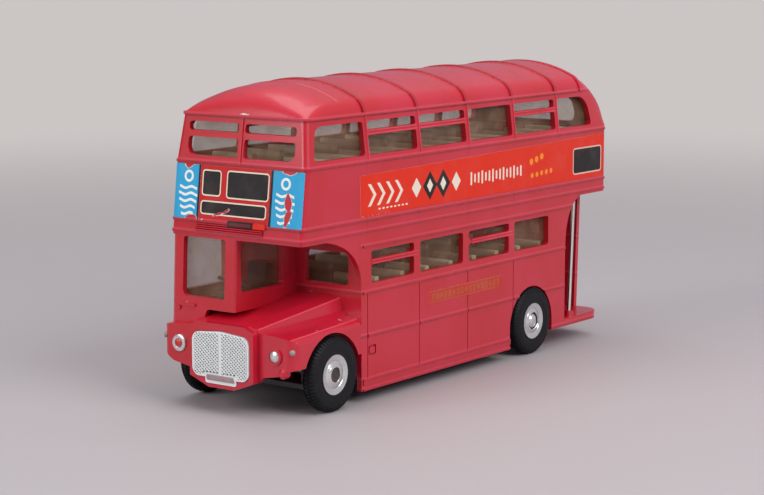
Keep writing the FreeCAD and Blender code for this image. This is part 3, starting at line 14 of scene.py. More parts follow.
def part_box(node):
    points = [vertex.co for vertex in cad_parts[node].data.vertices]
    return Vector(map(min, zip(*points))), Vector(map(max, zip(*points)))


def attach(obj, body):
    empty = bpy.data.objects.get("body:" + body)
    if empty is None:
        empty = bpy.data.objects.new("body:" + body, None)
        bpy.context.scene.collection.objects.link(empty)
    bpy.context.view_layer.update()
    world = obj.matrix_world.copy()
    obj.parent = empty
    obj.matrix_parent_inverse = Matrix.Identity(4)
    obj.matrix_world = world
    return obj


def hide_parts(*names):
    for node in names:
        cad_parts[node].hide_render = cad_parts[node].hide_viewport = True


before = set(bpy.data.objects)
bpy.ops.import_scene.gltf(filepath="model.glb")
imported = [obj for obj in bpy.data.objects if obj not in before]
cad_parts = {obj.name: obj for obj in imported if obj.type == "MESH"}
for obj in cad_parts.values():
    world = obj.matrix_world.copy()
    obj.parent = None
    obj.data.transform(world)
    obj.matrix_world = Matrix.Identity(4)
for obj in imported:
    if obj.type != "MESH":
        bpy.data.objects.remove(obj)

LOG = logging.getLogger("toy_bus")
MM = 0.001
Point2 = tuple[float, float]
Point3 = tuple[float, float, float]
Colour = tuple[float, float, float]
Loop = Sequence[Point2]
Box = tuple[float, float, float, float]
Row = tuple[float, float, int]
Place = Callable[[float, float, float], Point3]

# Places on the castings that several classes share, in millimetres
HALF_WIDTH = 17.35
BULKHEAD_Y = -36.8
PILLARS = (-34.4, -16.13, 2.14, 20.41, 38.68)
AXLE_Z = 7.76
AXLES = {"front": -46.0, "rear": 28.25}
SIDES = {"offside": -1, "nearside": 1}


class Body(Enum):
    """The moving bodies of the toy."""

    BUS = "bus"
    FRONT_WHEELS = "front_wheelset"
    REAR_WHEELS = "rear_wheelset"


class Ink(Enum):
    """Print colours of the paper labels, in linear light."""

    ORANGE = (0.66, 0.018, 0.001)
    CRIMSON = (0.50, 0.006, 0.006)
    ROSE = (0.66, 0.42, 0.36)
    SKY = (0.020, 0.34, 0.60)
    WHITE = (0.78, 0.80, 0.78)
    CREAM = (0.74, 0.66, 0.54)
    BLACK = (0.010, 0.006, 0.007)
    GOLD = (0.27, 0.13, 0.022)
    AMBER = (0.80, 0.24, 0.012)
    DEEP_RED = (0.52, 0.016, 0.016)
    MAROON = (0.12, 0.010, 0.014)
    PAPER = (0.66, 0.60, 0.54)


# Shader arithmetic


class Signal:
    """A node socket that takes part in Python arithmetic."""

    def __init__(self, net: "Net", socket: bpy.types.NodeSocket) -> None:
        """Wraps one output socket of a net."""
        self.net = net
        self.socket = socket

    def _math(self, operation: str, *values: "Signal | float") -> "Signal":
        """Adds one Math node with its inputs in order."""
        return self.net.out("ShaderNodeMath", {"operation": operation}, dict(enumerate(values)))

    def __add__(self, other: "Signal | float") -> "Signal":
        """The sum."""
        return self._math("ADD", self, other)

    def __radd__(self, other: float) -> "Signal":
        """The sum with a number on the left."""
        return self._math("ADD", other, self)

    def __sub__(self, other: "Signal | float") -> "Signal":
        """The difference."""
        return self._math("SUBTRACT", self, other)

    def __rsub__(self, other: float) -> "Signal":
        """The difference from a number on the left."""
        return self._math("SUBTRACT", other, self)

    def __mul__(self, other: "Signal | float") -> "Signal":
        """The product."""
        return self._math("MULTIPLY", self, other)

    def __rmul__(self, other: float) -> "Signal":
        """The product with a number on the left."""
        return self._math("MULTIPLY", other, self)

    def __truediv__(self, other: "Signal | float") -> "Signal":
        """The quotient."""
        return self._math("DIVIDE", self, other)

    def __pow__(self, other: float) -> "Signal":
        """The power."""
        return self._math("POWER", self, other)

    def __abs__(self) -> "Signal":
        """The size without its sign."""
        return self._math("ABSOLUTE", self)

    def sine(self) -> "Signal":
        """The sine of an angle in radians."""
        return self._math("SINE", self)

    def most(self, other: "Signal | float") -> "Signal":
        """The larger of two."""
        return self._math("MAXIMUM", self, other)

    def ramp(self, low: float, high: float) -> "Signal":
        """A smooth step.

        Args:
            low: where the result is 0.
            high: where the result is 1; it may lie below low.

        Returns:
            The stepped value.
        """
        if low > high:
            return 1 - self.ramp(high, low)
        return self.net.out("ShaderNodeMapRange", {"interpolation_type": "SMOOTHSTEP", "clamp": True},
                            {"Value": self, "From Min": low, "From Max": high}, "Result")

    def near(self, place: float, reach: float) -> "Signal":
        """One at a place on the axis, falling to 0 at a reach from it."""
        return abs(self - place).ramp(reach, reach * 0.4)


class Net:
    """A tree's nodes, added one at a time."""

    def __init__(self, tree: bpy.types.NodeTree) -> None:
        """Starts on an empty node tree."""
        self.tree = tree

    def add(self, kind: str, settings: dict, inputs: dict) -> bpy.types.Node:
        """Adds a node of any type.

        Args:
            kind: the node's type.
            settings: its properties, which are set first.
            inputs: values or signals by socket name or index.

        Returns:
            The node.
        """
        node = self.tree.nodes.new(kind)
        for key, value in settings.items():
            setattr(node, key, value)
        for key, value in inputs.items():
            socket = node.inputs[key]
            if isinstance(value, Signal):
                self.tree.links.new(value.socket, socket)
            elif socket.type == "RGBA" and len(value) == 3:
                socket.default_value = (*value, 1.0)
            else:
                socket.default_value = value
        return node

    def out(self, kind: str, settings: dict, inputs: dict, output: int | str = 0) -> Signal:
        """Adds a node and gives one of its outputs, by name or index."""
        return Signal(self, self.add(kind, settings, inputs).outputs[output])

    def place(self) -> Signal:
        """The surface point in millimetres, in the object's own frame."""
        metres = self.out("ShaderNodeTexCoord", {}, {}, "Object")
        return self.out("ShaderNodeVectorMath", {"operation": "SCALE"}, {0: metres, "Scale": 1 / MM})

    def split(self, point: Signal) -> tuple[Signal, Signal, Signal]:
        """The three coordinates of a point."""
        node = self.add("ShaderNodeSeparateXYZ", {}, {0: point})
        return tuple(Signal(self, out) for out in node.outputs)

    def distance(self, point: Signal, centre: Point3) -> Signal:
        """How far a point is from a fixed centre."""
        return self.out("ShaderNodeVectorMath", {"operation": "DISTANCE"}, {0: point, 1: centre}, "Value")

    def stretch(self, point: Signal, factors: Point3) -> Signal:
        """A point with each coordinate multiplied by its own factor."""
        return self.out("ShaderNodeVectorMath", {"operation": "MULTIPLY"}, {0: point, 1: factors})

    def noise(self, point: Signal, scale: float, detail: float = 3.0, rough: float = 0.55) -> Signal:
        """Soft noise with a grain of about 1/scale millimetres."""
        return self.out("ShaderNodeTexNoise", {},
                        {"Vector": point, "Scale": scale, "Detail": detail, "Roughness": rough})

    def cells(self, point: Signal, scale: float) -> Signal:
        """Distance to the nearest of scattered points."""
        return self.out("ShaderNodeTexVoronoi", {}, {"Vector": point, "Scale": scale}, "Distance")

    def mix(self, share: Signal | float, first: Signal | Colour, second: Signal | Colour) -> Signal:
        """A colour between two colours."""
        return self.out("ShaderNodeMix", {"data_type": "RGBA"}, {0: share, 6: first, 7: second}, 2)

    def bump(self, height: Signal, depth: float, strength: float = 1.0) -> Signal:
        """A surface normal from a height; the depth is in millimetres."""
        return self.out("ShaderNodeBump", {},
                        {"Strength": strength, "Distance": depth * MM, "Height": height})


# Finishes


@dataclass(frozen=True)
class Finish:
    """A surface finish that becomes one material."""

    name: str

    def dress(self, net: Net) -> dict[str, object]:
        """Builds the finish's nodes.

        Args:
            net: the material's net.

        Returns:
            Values or signals for the shader's sockets.
        """
        raise NotImplementedError

    def surface(self, net: Net, shader: Signal) -> Signal:
        """What reaches the material's surface, given its main shader."""
        return shader

    def material(self) -> bpy.types.Material:
        """The finish's material, made once.

        Returns:
            The material that has the finish's name.
        """
        if self.name in bpy.data.materials:
            return bpy.data.materials[self.name]
        material = bpy.data.materials.new(self.name)
        material.use_nodes = True
        material.node_tree.nodes.clear()
        net = Net(material.node_tree)
        shader = net.out("ShaderNodeBsdfPrincipled", {}, self.dress(net))
        net.add("ShaderNodeOutputMaterial", {}, {"Surface": self.surface(net, shader)})
        return material


@dataclass(frozen=True)
class Chip:
    """A bare place in the enamel: its middle, its radius, and how much longer it is along x."""

    x: float
    y: float
    z: float
    radius: float
    length: float = 1.0


@dataclass(frozen=True)
class Enamel(Finish):
    """Worn gloss enamel over die-cast metal, chipped along the casting's raised lines, with a painted highlight
    over those lines and painted shade under them.
    """

    colour: Colour = (0.47, 0.0025, 0.012)
    faded: Colour = (0.50, 0.008, 0.030)
    # deep: a darker red, for random blotches and for the painted shade on the roof ribs.
    deep: Colour = (0.30, 0.002, 0.008)
    # thin: the lighter red of the painted highlight along the raised lines.
    thin: Colour = (0.62, 0.060, 0.105)
    # The colour of the painted shade under the raised lines and beside the pillars.
    shade_colour: Colour = (0.13, 0.004, 0.010)
    metal: Colour = (0.58, 0.52, 0.50)
    lines: tuple[float, ...] = ()
    lines_from: float = -100.0
    uprights: tuple[float, ...] = ()
    ribs_from: float = 59.6
    chips: tuple[Chip, ...] = ()
    coat: float = 0.38

    def _bare(self, net: Net, point: Signal, edge: Signal) -> Signal:
        """Where the paint has gone.

        Args:
            net: the material's net.
            point: the surface point.
            edge: 1 along the raised lines.

        Returns:
            1 on flecks along the lines, on a few scattered ones and on the named chips.
        """
        flake = net.noise(point, 2.4, 3.0, 0.6)
        bare = edge * flake.ramp(0.735, 0.75)
        bare = bare.most(net.noise(point, 1.15, 2.0).ramp(0.815, 0.825))
        for chip in self.chips:
            spot = net.stretch(point, (1 / chip.length, 1.0, 1.0))
            away = net.distance(spot, (chip.x / chip.length, chip.y, chip.z)) / chip.radius
            bare = bare.most((away + (flake - 0.5) * 2.4).ramp(1.0, 0.82))
        return bare

    def dress(self, net: Net) -> dict[str, object]:
        """Faded paint with random darker blotches, a painted highlight along the top of each raised line, painted
        shade under the lines and beside the pillars, roof ribs darkened as painted shade, fine scratches and bare
        chips.
        """
        point = net.place()
        _, y, z = net.split(point)
        blotch = net.noise(point, 0.35, 3.0)
        colour = net.mix(net.noise(point, 0.055, 2.0).ramp(0.35, 0.68), self.colour, self.faded)
        colour = net.mix((blotch.ramp(0.58, 0.80)) * 0.30, colour, self.deep)
        edge: Signal | float = 0.0
        painted_shade: Signal | float = 0.0
        painted_highlight: Signal | float = 0.0
        ribs: Signal | float = 0.0
        # Each raised line: a band for chips, a painted highlight just above it and painted shade just below it.
        for height in self.lines:
            edge = z.near(height, 0.32) + edge
            painted_highlight = z.near(height + 0.16, 0.26) + painted_highlight
            painted_shade = z.near(height - 0.45, 0.34) + painted_shade
        panels = y.ramp(self.lines_from, self.lines_from + 0.5)
        edge, painted_highlight, painted_shade = panels * edge, panels * painted_highlight, panels * painted_shade
        # Each pillar: a band for chips, painted shade beside it, and a band where the roof ribs are darkened as
        # painted shade.
        for run in self.uprights:
            edge = y.near(run, 0.45) + edge
            painted_shade = y.near(run - 0.42, 0.3) * 0.45 + painted_shade
            ribs = y.near(run, 0.5) + ribs
        # Painted highlight over the raised lines; painted shade on the roof ribs.
        if self.lines:
            colour = net.mix(painted_highlight * (0.70 - blotch * 0.3), colour, self.thin)
        if self.uprights:
            roof = z.ramp(self.ribs_from, self.ribs_from + 0.6)
            colour = net.mix(ribs * roof * 0.75, colour, self.deep)
        # Painted shade under the lines and beside the pillars, patchy in strength, which also roughens the paint
        # there.
        grime = painted_shade * (0.30 + net.noise(point, 0.5, 4.0).ramp(0.45, 0.75) * 0.40)
        bare = self._bare(net, point, edge)
        colour = net.mix(bare, net.mix(grime, colour, self.shade_colour), self.metal)
        hairs = net.noise(net.stretch(point, (9.0, 0.5, 7.0)), 1.0, 2.0).ramp(0.66, 0.72)
        peel = net.noise(point, 1.5, 2.0) * 0.5 + net.noise(point, 6.0, 2.0) * 0.10 - bare * 0.9
        return {"Base Color": colour, "Metallic": bare * 0.55,
                "Roughness": 0.26 + blotch * 0.14 + hairs * 0.08 + grime * 0.3 + bare * 0.15,
                "Normal": net.bump(peel, 0.045, 0.40),
                "Coat Weight": self.coat - bare * self.coat, "Coat Roughness": 0.13}


@dataclass(frozen=True)
class Silver(Finish):
    """Silver paint or plating, dull in its hollows."""

    colour: Colour = (0.80, 0.80, 0.78)
    dirt: Colour = (0.28, 0.25, 0.22)
    shine: float = 0.30
    metallic: float = 0.75
    dirt_share: float = 0.35

    def dress(self, net: Net) -> dict[str, object]:
        """Bright metal with patches of dirt and small pits."""
        point = net.place()
        patch = net.noise(point, 0.8, 4.0, 0.65).ramp(0.50, 0.72)
        pits = net.cells(point, 2.6).ramp(0.16, 0.06)
        dirt = patch * self.dirt_share + pits * 0.15
        return {"Base Color": net.mix(dirt, self.colour, self.dirt), "Metallic": self.metallic - dirt * 0.3,
                "Roughness": self.shine + dirt * 0.4,
                "Normal": net.bump(net.noise(point, 3.5, 2.0), 0.03, 0.5)}


@dataclass(frozen=True)
class GrilleSilver(Silver):
    """Silver paint on the radiator, with painted shade where the mesh is sunk."""

    shine: float = 0.34
    face_y: float = -60.84
    sink: float = 0.22
    shadow: Colour = (0.085, 0.082, 0.08)

    def dress(self, net: Net) -> dict[str, object]:
        """Bright bars over diamonds darkened with painted shade, with patches of dirt."""
        point = net.place()
        _, y, _ = net.split(point)
        # Painted shade: the deeper the surface lies behind the face, the nearer its colour to shadow.
        depth = y.ramp(self.face_y + 0.04, self.face_y + self.sink)
        patch = net.noise(point, 0.7, 4.0, 0.6).ramp(0.42, 0.75)
        colour = net.mix(patch * 0.30, net.mix(depth * 0.90, self.colour, self.shadow), self.dirt)
        return {"Base Color": colour, "Metallic": 0.55 - depth * 0.4, "Roughness": self.shine + patch * 0.25,
                "Normal": net.bump(net.noise(point, 4.0, 2.0), 0.03, 0.4)}


@dataclass(frozen=True)
class TurnedMetal(Finish):
    """Metal turned on a lathe, with rings round its axle and one groove darkened with painted shade."""

    axle_y: float = 0.0
    groove: float = 1.78
    colour: Colour = (0.78, 0.81, 0.80)
    grime: Colour = (0.20, 0.18, 0.16)
    shadow: Colour = (0.02, 0.022, 0.02)
    roughness: float = 0.20

    def dress(self, net: Net) -> dict[str, object]:
        """Fine rings, a few deeper ones, specks of dirt, and the groove's painted shade."""
        point = net.place()
        _, y, z = net.split(point)
        radius = ((y - self.axle_y) ** 2.0 + (z - AXLE_Z) ** 2.0) ** 0.5
        rings = (radius * 42.0 + net.noise(point, 0.4) * 2.0).sine() * 0.5 + (radius * 13.0).sine() * 0.5
        speck = net.noise(point, 2.2, 4.0, 0.7).ramp(0.60, 0.74)
        colour = net.mix(speck * 0.45, self.colour, self.grime)
        # Painted shade: a ring at the groove's radius.
        colour = net.mix(radius.near(self.groove, 0.24) * 0.94, colour, self.shadow)
        return {"Base Color": colour, "Metallic": 1.0,
                "Roughness": self.roughness + speck * 0.3 + rings * 0.04,
                "Normal": net.bump(rings + net.noise(point, 1.4) * 1.2, 0.02, 0.5)}


@dataclass(frozen=True)
class Rubber(Finish):
    """Black moulded rubber with dust."""

    colour: Colour = (0.0055, 0.0055, 0.0075)
    dust: Colour = (0.026, 0.024, 0.024)

    def dress(self, net: Net) -> dict[str, object]:
        """Matt rubber, greyer where dust has settled."""
        point = net.place()
        settled = net.noise(point, 0.45, 4.0, 0.65).ramp(0.48, 0.76)
        return {"Base Color": net.mix(settled * 0.45, self.colour, self.dust),
                "Roughness": 0.55 + settled * 0.25, "Specular IOR Level": 0.22,
                "Normal": net.bump(net.noise(point, 4.5, 3.0), 0.05, 0.6)}


@dataclass(frozen=True)
class Moulding(Finish):
    """Plain moulded plastic, a little aged; its default tones are darkened as painted shade, and where it has a
    crest, a painted highlight runs up to it.
    """

    # The default colour and aged tone are far darker than cream plastic: painted shade inside the decks.
    colour: Colour = (0.36, 0.28, 0.145)
    aged: Colour = (0.22, 0.155, 0.075)
    # pale: the painted highlight on the seat tops.
    pale: Colour = (0.84, 0.78, 0.50)
    roughness: float = 0.42
    crest: float = 0.0

    def dress(self, net: Net) -> dict[str, object]:
        """Uneven yellowing, flow marks, a fine grain, and a painted highlight up to the crest."""
        point = net.place()
        age = net.noise(point, 0.14, 3.0).ramp(0.35, 0.72)
        flow = net.noise(net.stretch(point, (0.3, 1.2, 0.5)), 0.8, 3.0)
        colour = net.mix(age * 0.8, self.colour, self.aged)
        colour = net.mix(flow.ramp(0.62, 0.80) * 0.12, colour, tuple(0.6 * c for c in self.aged))
        # Painted highlight: the 2 mm up to the crest turn pale.
        if self.crest:
            _, _, z = net.split(point)
            colour = net.mix(z.ramp(self.crest - 2.0, self.crest - 0.7), colour, self.pale)
        return {"Base Color": colour, "Roughness": self.roughness + flow * 0.15,
                "Normal": net.bump(net.noise(point, 2.8, 3.0), 0.03, 0.4)}


@dataclass(frozen=True)
class Glazing(Finish):
    """Clear plastic gone slightly brown, with a film of dust."""

    tint: Colour = (0.20, 0.105, 0.055)
    film: Colour = (0.32, 0.20, 0.12)
    body: float = 0.21

    def dress(self, net: Net) -> dict[str, object]:
        """A thin clear wall that is cloudier in patches and where it was wiped."""
        point = net.place()
        cloud = net.noise(point, 0.16, 4.0, 0.6).ramp(0.35, 0.75)
        wipes = net.noise(net.stretch(point, (1.0, 0.35, 1.6)), 0.9, 3.0).ramp(0.50, 0.80)
        return {"Base Color": net.mix(cloud, self.tint, self.film), "Roughness": 0.10 + wipes * 0.15,
                "Alpha": self.body + cloud * 0.13 + wipes * 0.07,
                "Specular IOR Level": 0.5, "Coat Weight": 0.25, "Coat Roughness": 0.05}


@dataclass(frozen=True)
class PrintedPaper(Finish):
    """Gloss paper label whose print colour is stored on its faces."""

    sheen: float = 0.34
    faded: Colour = (0.60, 0.50, 0.42)

    def dress(self, net: Net) -> dict[str, object]:
        """The print, rubbed in places down to the paper, over fine fibres."""
        point = net.place()
        print_colour = net.out("ShaderNodeVertexColor", {"layer_name": "ink"}, {}, "Color")
        fibre = net.noise(point, 5.0, 3.0, 0.6)
        rub = net.noise(point, 0.9, 4.0, 0.7).ramp(0.76, 0.84)
        colour = net.mix(rub * 0.5, print_colour, Ink.PAPER.value)
        colour = net.mix(net.noise(point, 0.2, 2.0).ramp(0.40, 0.80) * 0.04, colour, self.faded)
        return {"Base Color": colour, "Roughness": self.sheen + rub * 0.3 + fibre * 0.1,
                "Specular IOR Level": 0.30,
                "Normal": net.bump(fibre + net.noise(point, 0.7) * 1.5, 0.035, 0.5)}


@dataclass(frozen=True)
class PressedSteel(Finish):
    """Matt black paint on the pressed base, taken darker than black paint as painted shade under the bus; the
    steel axles take a near-black copy as painted shade.
    """

    colour: Colour = (0.0035, 0.003, 0.003)
    rubbed: Colour = (0.016, 0.014, 0.014)

    def dress(self, net: Net) -> dict[str, object]:
        """Black paint rubbed grey on its high places."""
        point = net.place()
        rub = net.noise(point, 0.5, 4.0, 0.7).ramp(0.60, 0.76)
        return {"Base Color": net.mix(rub * 0.4, self.colour, self.rubbed), "Roughness": 0.80 + rub * 0.1,
                "Metallic": rub * 0.2, "Specular IOR Level": 0.05,
                "Normal": net.bump(net.noise(point, 1.6, 3.0), 0.04, 0.4)}


@dataclass(frozen=True)
class StudioPaint(Finish):
    """The studio's plain floor, which turns into the backdrop's colour from clear to gone."""

    colour: Colour = (0.40, 0.365, 0.37)
    far: Colour = (0.60, 0.56, 0.555)
    clear: float = 120.0
    gone: float = 620.0

    def dress(self, net: Net) -> dict[str, object]:
        """One pale colour with the faintest mottle."""
        mottle = net.noise(net.place(), 0.02, 3.0)
        colour = net.mix(mottle * 0.25, self.colour, tuple(0.93 * c for c in self.colour))
        return {"Base Color": colour, "Roughness": 0.55 + mottle * 0.1}

    def surface(self, net: Net, shader: Signal) -> Signal:
        """The floor's shader near the bus and the plain backdrop far from it."""
        away = net.distance(net.place(), (0.0, 0.0, 0.0)).ramp(self.clear, self.gone)
        glow = net.out("ShaderNodeEmission", {}, {"Color": self.far, "Strength": 1.0})
        return net.out("ShaderNodeMixShader", {}, {0: away, 1: shader, 2: glow})


# Mesh making


def add_piece(name: str, mesh: bpy.types.Mesh, body: Body) -> bpy.types.Object:
    """Puts a finished mesh in the scene and lets it ride on a body.

    Args:
        name: the piece's name.
        mesh: its mesh, in metres.
        body: what it moves with.

    Returns:
        The object.
    """
    piece = bpy.data.objects.new(name, mesh)
    bpy.context.scene.collection.objects.link(piece)
    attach(piece, body.value)
    LOG.info("%s: %d faces", name, len(mesh.polygons))
    return piece


def mesh_piece(name: str, points: Sequence[Point3], faces: Sequence[Sequence[int]], finish: Finish,
               body: Body, smooth_angle: float = 35.0) -> bpy.types.Object:
    """Makes a finished piece that rides on a body.

    Args:
        name: the piece's name.
        points: its corners in millimetres.
        faces: its faces as corner numbers.
        finish: its finish.
        body: what it moves with.
        smooth_angle: faces that meet at less than this many degrees are shaded as one.

    Returns:
        The object.
    """
    mesh = bpy.data.meshes.new(name)
    mesh.from_pydata([[c * MM for c in p] for p in points], [], faces)
    build = bmesh.new()
    build.from_mesh(mesh)
    bmesh.ops.recalc_face_normals(build, faces=build.faces)
    build.to_mesh(mesh)
    build.free()
    mesh.shade_smooth()
    mesh.set_sharp_from_angle(angle=math.radians(smooth_angle))
    mesh.materials.append(finish.material())
    return add_piece(name, mesh, body)


def hoops(profile: Loop, place: Place, segments: int) -> list[Point3]:
    """The points of a profile turned about its axis, ring after ring.

    Args:
        profile: (along, radius) pairs.
        place: gives a point from (along, across, up).
        segments: points in a ring.

    Returns:
        The points.
    """
    turns = [2 * math.pi * i / segments for i in range(segments)]
    return [place(along, radius * math.cos(turn), radius * math.sin(turn))
            for along, radius in profile for turn in turns]


def bands(start: int, rings: int, count: int, closed: bool = False) -> list[tuple[int, ...]]:
    """The faces between rings that follow each other.

    Args:
        start: the number of the first ring's first point.
        rings: how many rings there are.
        count: points in a ring.
        closed: whether the last ring meets the first.

    Returns:
        Faces as point numbers.
    """
    faces = []
    for ring in range(rings if closed else rings - 1):
        low, high = start + ring * count, start + (ring + 1) % rings * count
        faces += [(low + i, high + i, high + (i + 1) % count, low + (i + 1) % count) for i in range(count)]
    return faces


def lathe(name: str, profile: Loop, place: Place, finish: Finish, body: Body,
          segments: int = 48) -> bpy.types.Object:
    """Turns a profile that starts and ends on its axis.

    Args:
        name: the piece's name.
        profile: (along, radius) pairs, the first and last with radius 0.
        place: gives a point from (along, across, up).
        finish: the piece's finish.
        body: what it moves with.
        segments: faces round the axis.

    Returns:
        The object.
    """
    points = [place(profile[0][0], 0.0, 0.0), *hoops(profile[1:-1], place, segments),
              place(profile[-1][0], 0.0, 0.0)]
    faces = bands(1, len(profile) - 2, segments)
    end = len(points) - 1
    for i in range(segments):
        j = (i + 1) % segments
        faces += [(0, 1 + i, 1 + j), (end - segments + i, end, end - segments + j)]
    return mesh_piece(name, points, faces, finish, body)


@dataclass
class Stack:
    """Closed solids through rings of points, gathered to make one piece."""

    points: list[Point3] = field(default_factory=list)
    faces: list[tuple[int, ...]] = field(default_factory=list)

    def add(self, *rings: Sequence[Point3]) -> None:
        """Adds one closed solid.

        Args:
            rings: its rings from one end to the other, all with as many points.
        """
        start, count = len(self.points), len(rings[0])
        for ring in rings:
            self.points += ring
        last = start + (len(rings) - 1) * count
        self.faces += [tuple(range(start, start + count)), tuple(range(last + count - 1, last - 1, -1))]
        self.faces += bands(start, len(rings), count)


def geometry_tree(name: str, inputs: dict[str, str]) -> tuple[Net, dict[str, Signal]]:
    """Starts a geometry tree.

    Args:
        name: the tree's name.
        inputs: its inputs' names, each with its kind.

    Returns:
        Its net, and its inputs by name.
    """
    tree = bpy.data.node_groups.new(name, "GeometryNodeTree")
    for label, kind in inputs.items():
        tree.interface.new_socket(label, in_out="INPUT", socket_type="NodeSocket" + kind)
    tree.interface.new_socket("Geometry", in_out="OUTPUT", socket_type="NodeSocketGeometry")
    net = Net(tree)
    given = net.add("NodeGroupInput", {}, {})
    return net, {label: Signal(net, given.outputs[label]) for label in inputs}


def end_tree(net: Net, shape: Signal, finish: Signal) -> bpy.types.NodeTree:
    """Ends a geometry tree with real meshes in one material.

    Args:
        net: the tree's net.
        shape: the geometry.
        finish: the material.

    Returns:
        The tree.
    """
    real = net.out("GeometryNodeRealizeInstances", {}, {0: shape})
    dressed = net.out("GeometryNodeSetMaterial", {}, {"Geometry": real, "Material": finish})
    net.add("NodeGroupOutput", {}, {0: dressed})
    return net.tree


def grown(name: str, seed: bpy.types.Mesh, tree: bpy.types.NodeTree, values: dict[str, object],
          body: Body, smooth_angle: float = 0.0) -> bpy.types.Object:
    """Runs a geometry tree on a seed and keeps what it makes as a plain piece.

    Args:
        name: the piece's name.
        seed: the mesh that the tree starts from.
        tree: the tree.
        values: its inputs by name; Finish is the material.
        body: what the piece moves with.
        smooth_angle: faces that meet at less than this many degrees are shaded as one.

    Returns:
        The object.
    """
    host = bpy.data.objects.new(name + "_host", seed)
    bpy.context.scene.collection.objects.link(host)
    modifier = host.modifiers.new(name, "NODES")
    modifier.node_group = tree
    for item in tree.interface.items_tree:
        if item.in_out == "INPUT" and item.name in values:
            modifier[item.identifier] = values[item.name]
    mesh = bpy.data.meshes.new_from_object(host.evaluated_get(bpy.context.evaluated_depsgraph_get()))
    bpy.data.objects.remove(host)
    mesh.name = name
    if smooth_angle:
        mesh.shade_smooth()
        mesh.set_sharp_from_angle(angle=math.radians(smooth_angle))
    if not mesh.materials:
        mesh.materials.append(values["Finish"])
    return add_piece(name, mesh, body)


# Outlines


def rounded(u0: float, u1: float, v0: float, v1: float, radius: float, steps: int = 5) -> list[Point2]:
    """A rectangle with round corners.

    Args:
        u0: its left edge.
        u1: its right edge.
        v0: its lower edge.
        v1: its upper edge.
        radius: the corners' radius.
        steps: straight pieces in a corner.

    Returns:
        Its points, counted round.
    """
    points = []
    for cu, cv, start in ((u1 - radius, v0 + radius, -90), (u1 - radius, v1 - radius, 0),
                          (u0 + radius, v1 - radius, 90), (u0 + radius, v0 + radius, 180)):
        turns = [math.radians(start + 90 * i / steps) for i in range(steps + 1)]
        points += [(cu + radius * math.cos(turn), cv + radius * math.sin(turn)) for turn in turns]
    return points


def disc(u: float, v: float, radius: float, count: int = 20) -> list[Point2]:
    """Points of a circle."""
    turns = [2 * math.pi * i / count for i in range(count)]
    return [(u + radius * math.cos(turn), v + radius * math.sin(turn)) for turn in turns]


def corners(u0: float, u1: float, v0: float, v1: float) -> list[Point2]:
    """The corners of a rectangle."""
    return [(u0, v0), (u1, v0), (u1, v1), (u0, v1)]


def spread(start: float, pitch: float, count: int) -> list[float]:
    """Places one pitch apart."""
    return [start + pitch * i for i in range(count)]


def lozenge(u: float, v: float, wide: float, tall: float) -> list[Point2]:
    """Points of a lozenge, by half its width and half its height."""
    return [(u - wide, v), (u, v - tall), (u + wide, v), (u, v + tall)]


def ragged(loop: Loop, amount: float, seed: int, step: float = 0.35) -> list[Point2]:
    """A loop with its edges broken up like torn paper.

    Args:
        loop: corner points.
        amount: how far a point may move, in millimetres.
        seed: fixes the pattern.
        step: distance between the new points.

    Returns:
        The torn loop.
    """
    chance = random.Random(seed)
    points = []
    for i, (u0, v0) in enumerate(loop):
        u1, v1 = loop[(i + 1) % len(loop)]
        count = max(1, int(math.hypot(u1 - u0, v1 - v0) / step))
        for k in range(count):
            share = k / count
            points.append((u0 + (u1 - u0) * share + chance.uniform(-amount, amount),
                           v0 + (v1 - v0) * share + chance.uniform(-amount, amount)))
    return points


def shrunk(loop: Loop, amount: float) -> list[Point2]:
    """A loop drawn in towards its middle.

    Args:
        loop: its points.
        amount: how far each point moves.

    Returns:
        The smaller loop.
    """
    mid_u = sum(p[0] for p in loop) / len(loop)
    mid_v = sum(p[1] for p in loop) / len(loop)
    out = []
    for u, v in loop:
        away = math.hypot(u - mid_u, v - mid_v)
        keep = max(0.0, 1 - amount / away) if away > 0 else 0.0
        out.append((mid_u + (u - mid_u) * keep, mid_v + (v - mid_v) * keep))
    return out


def inside(loop: Loop, u: float, v: float) -> bool:
    """Whether a point lies in a loop.

    Args:
        loop: the loop's points.
        u: the point's place across.
        v: the point's place up.

    Returns:
        True inside.
    """
    hit = False
    for i, (u0, v0) in enumerate(loop):
        u1, v1 = loop[i - 1]
        if (v0 > v) != (v1 > v) and u < (u1 - u0) * (v - v0) / (v1 - v0) + u0:
            hit = not hit
    return hit


# Labels


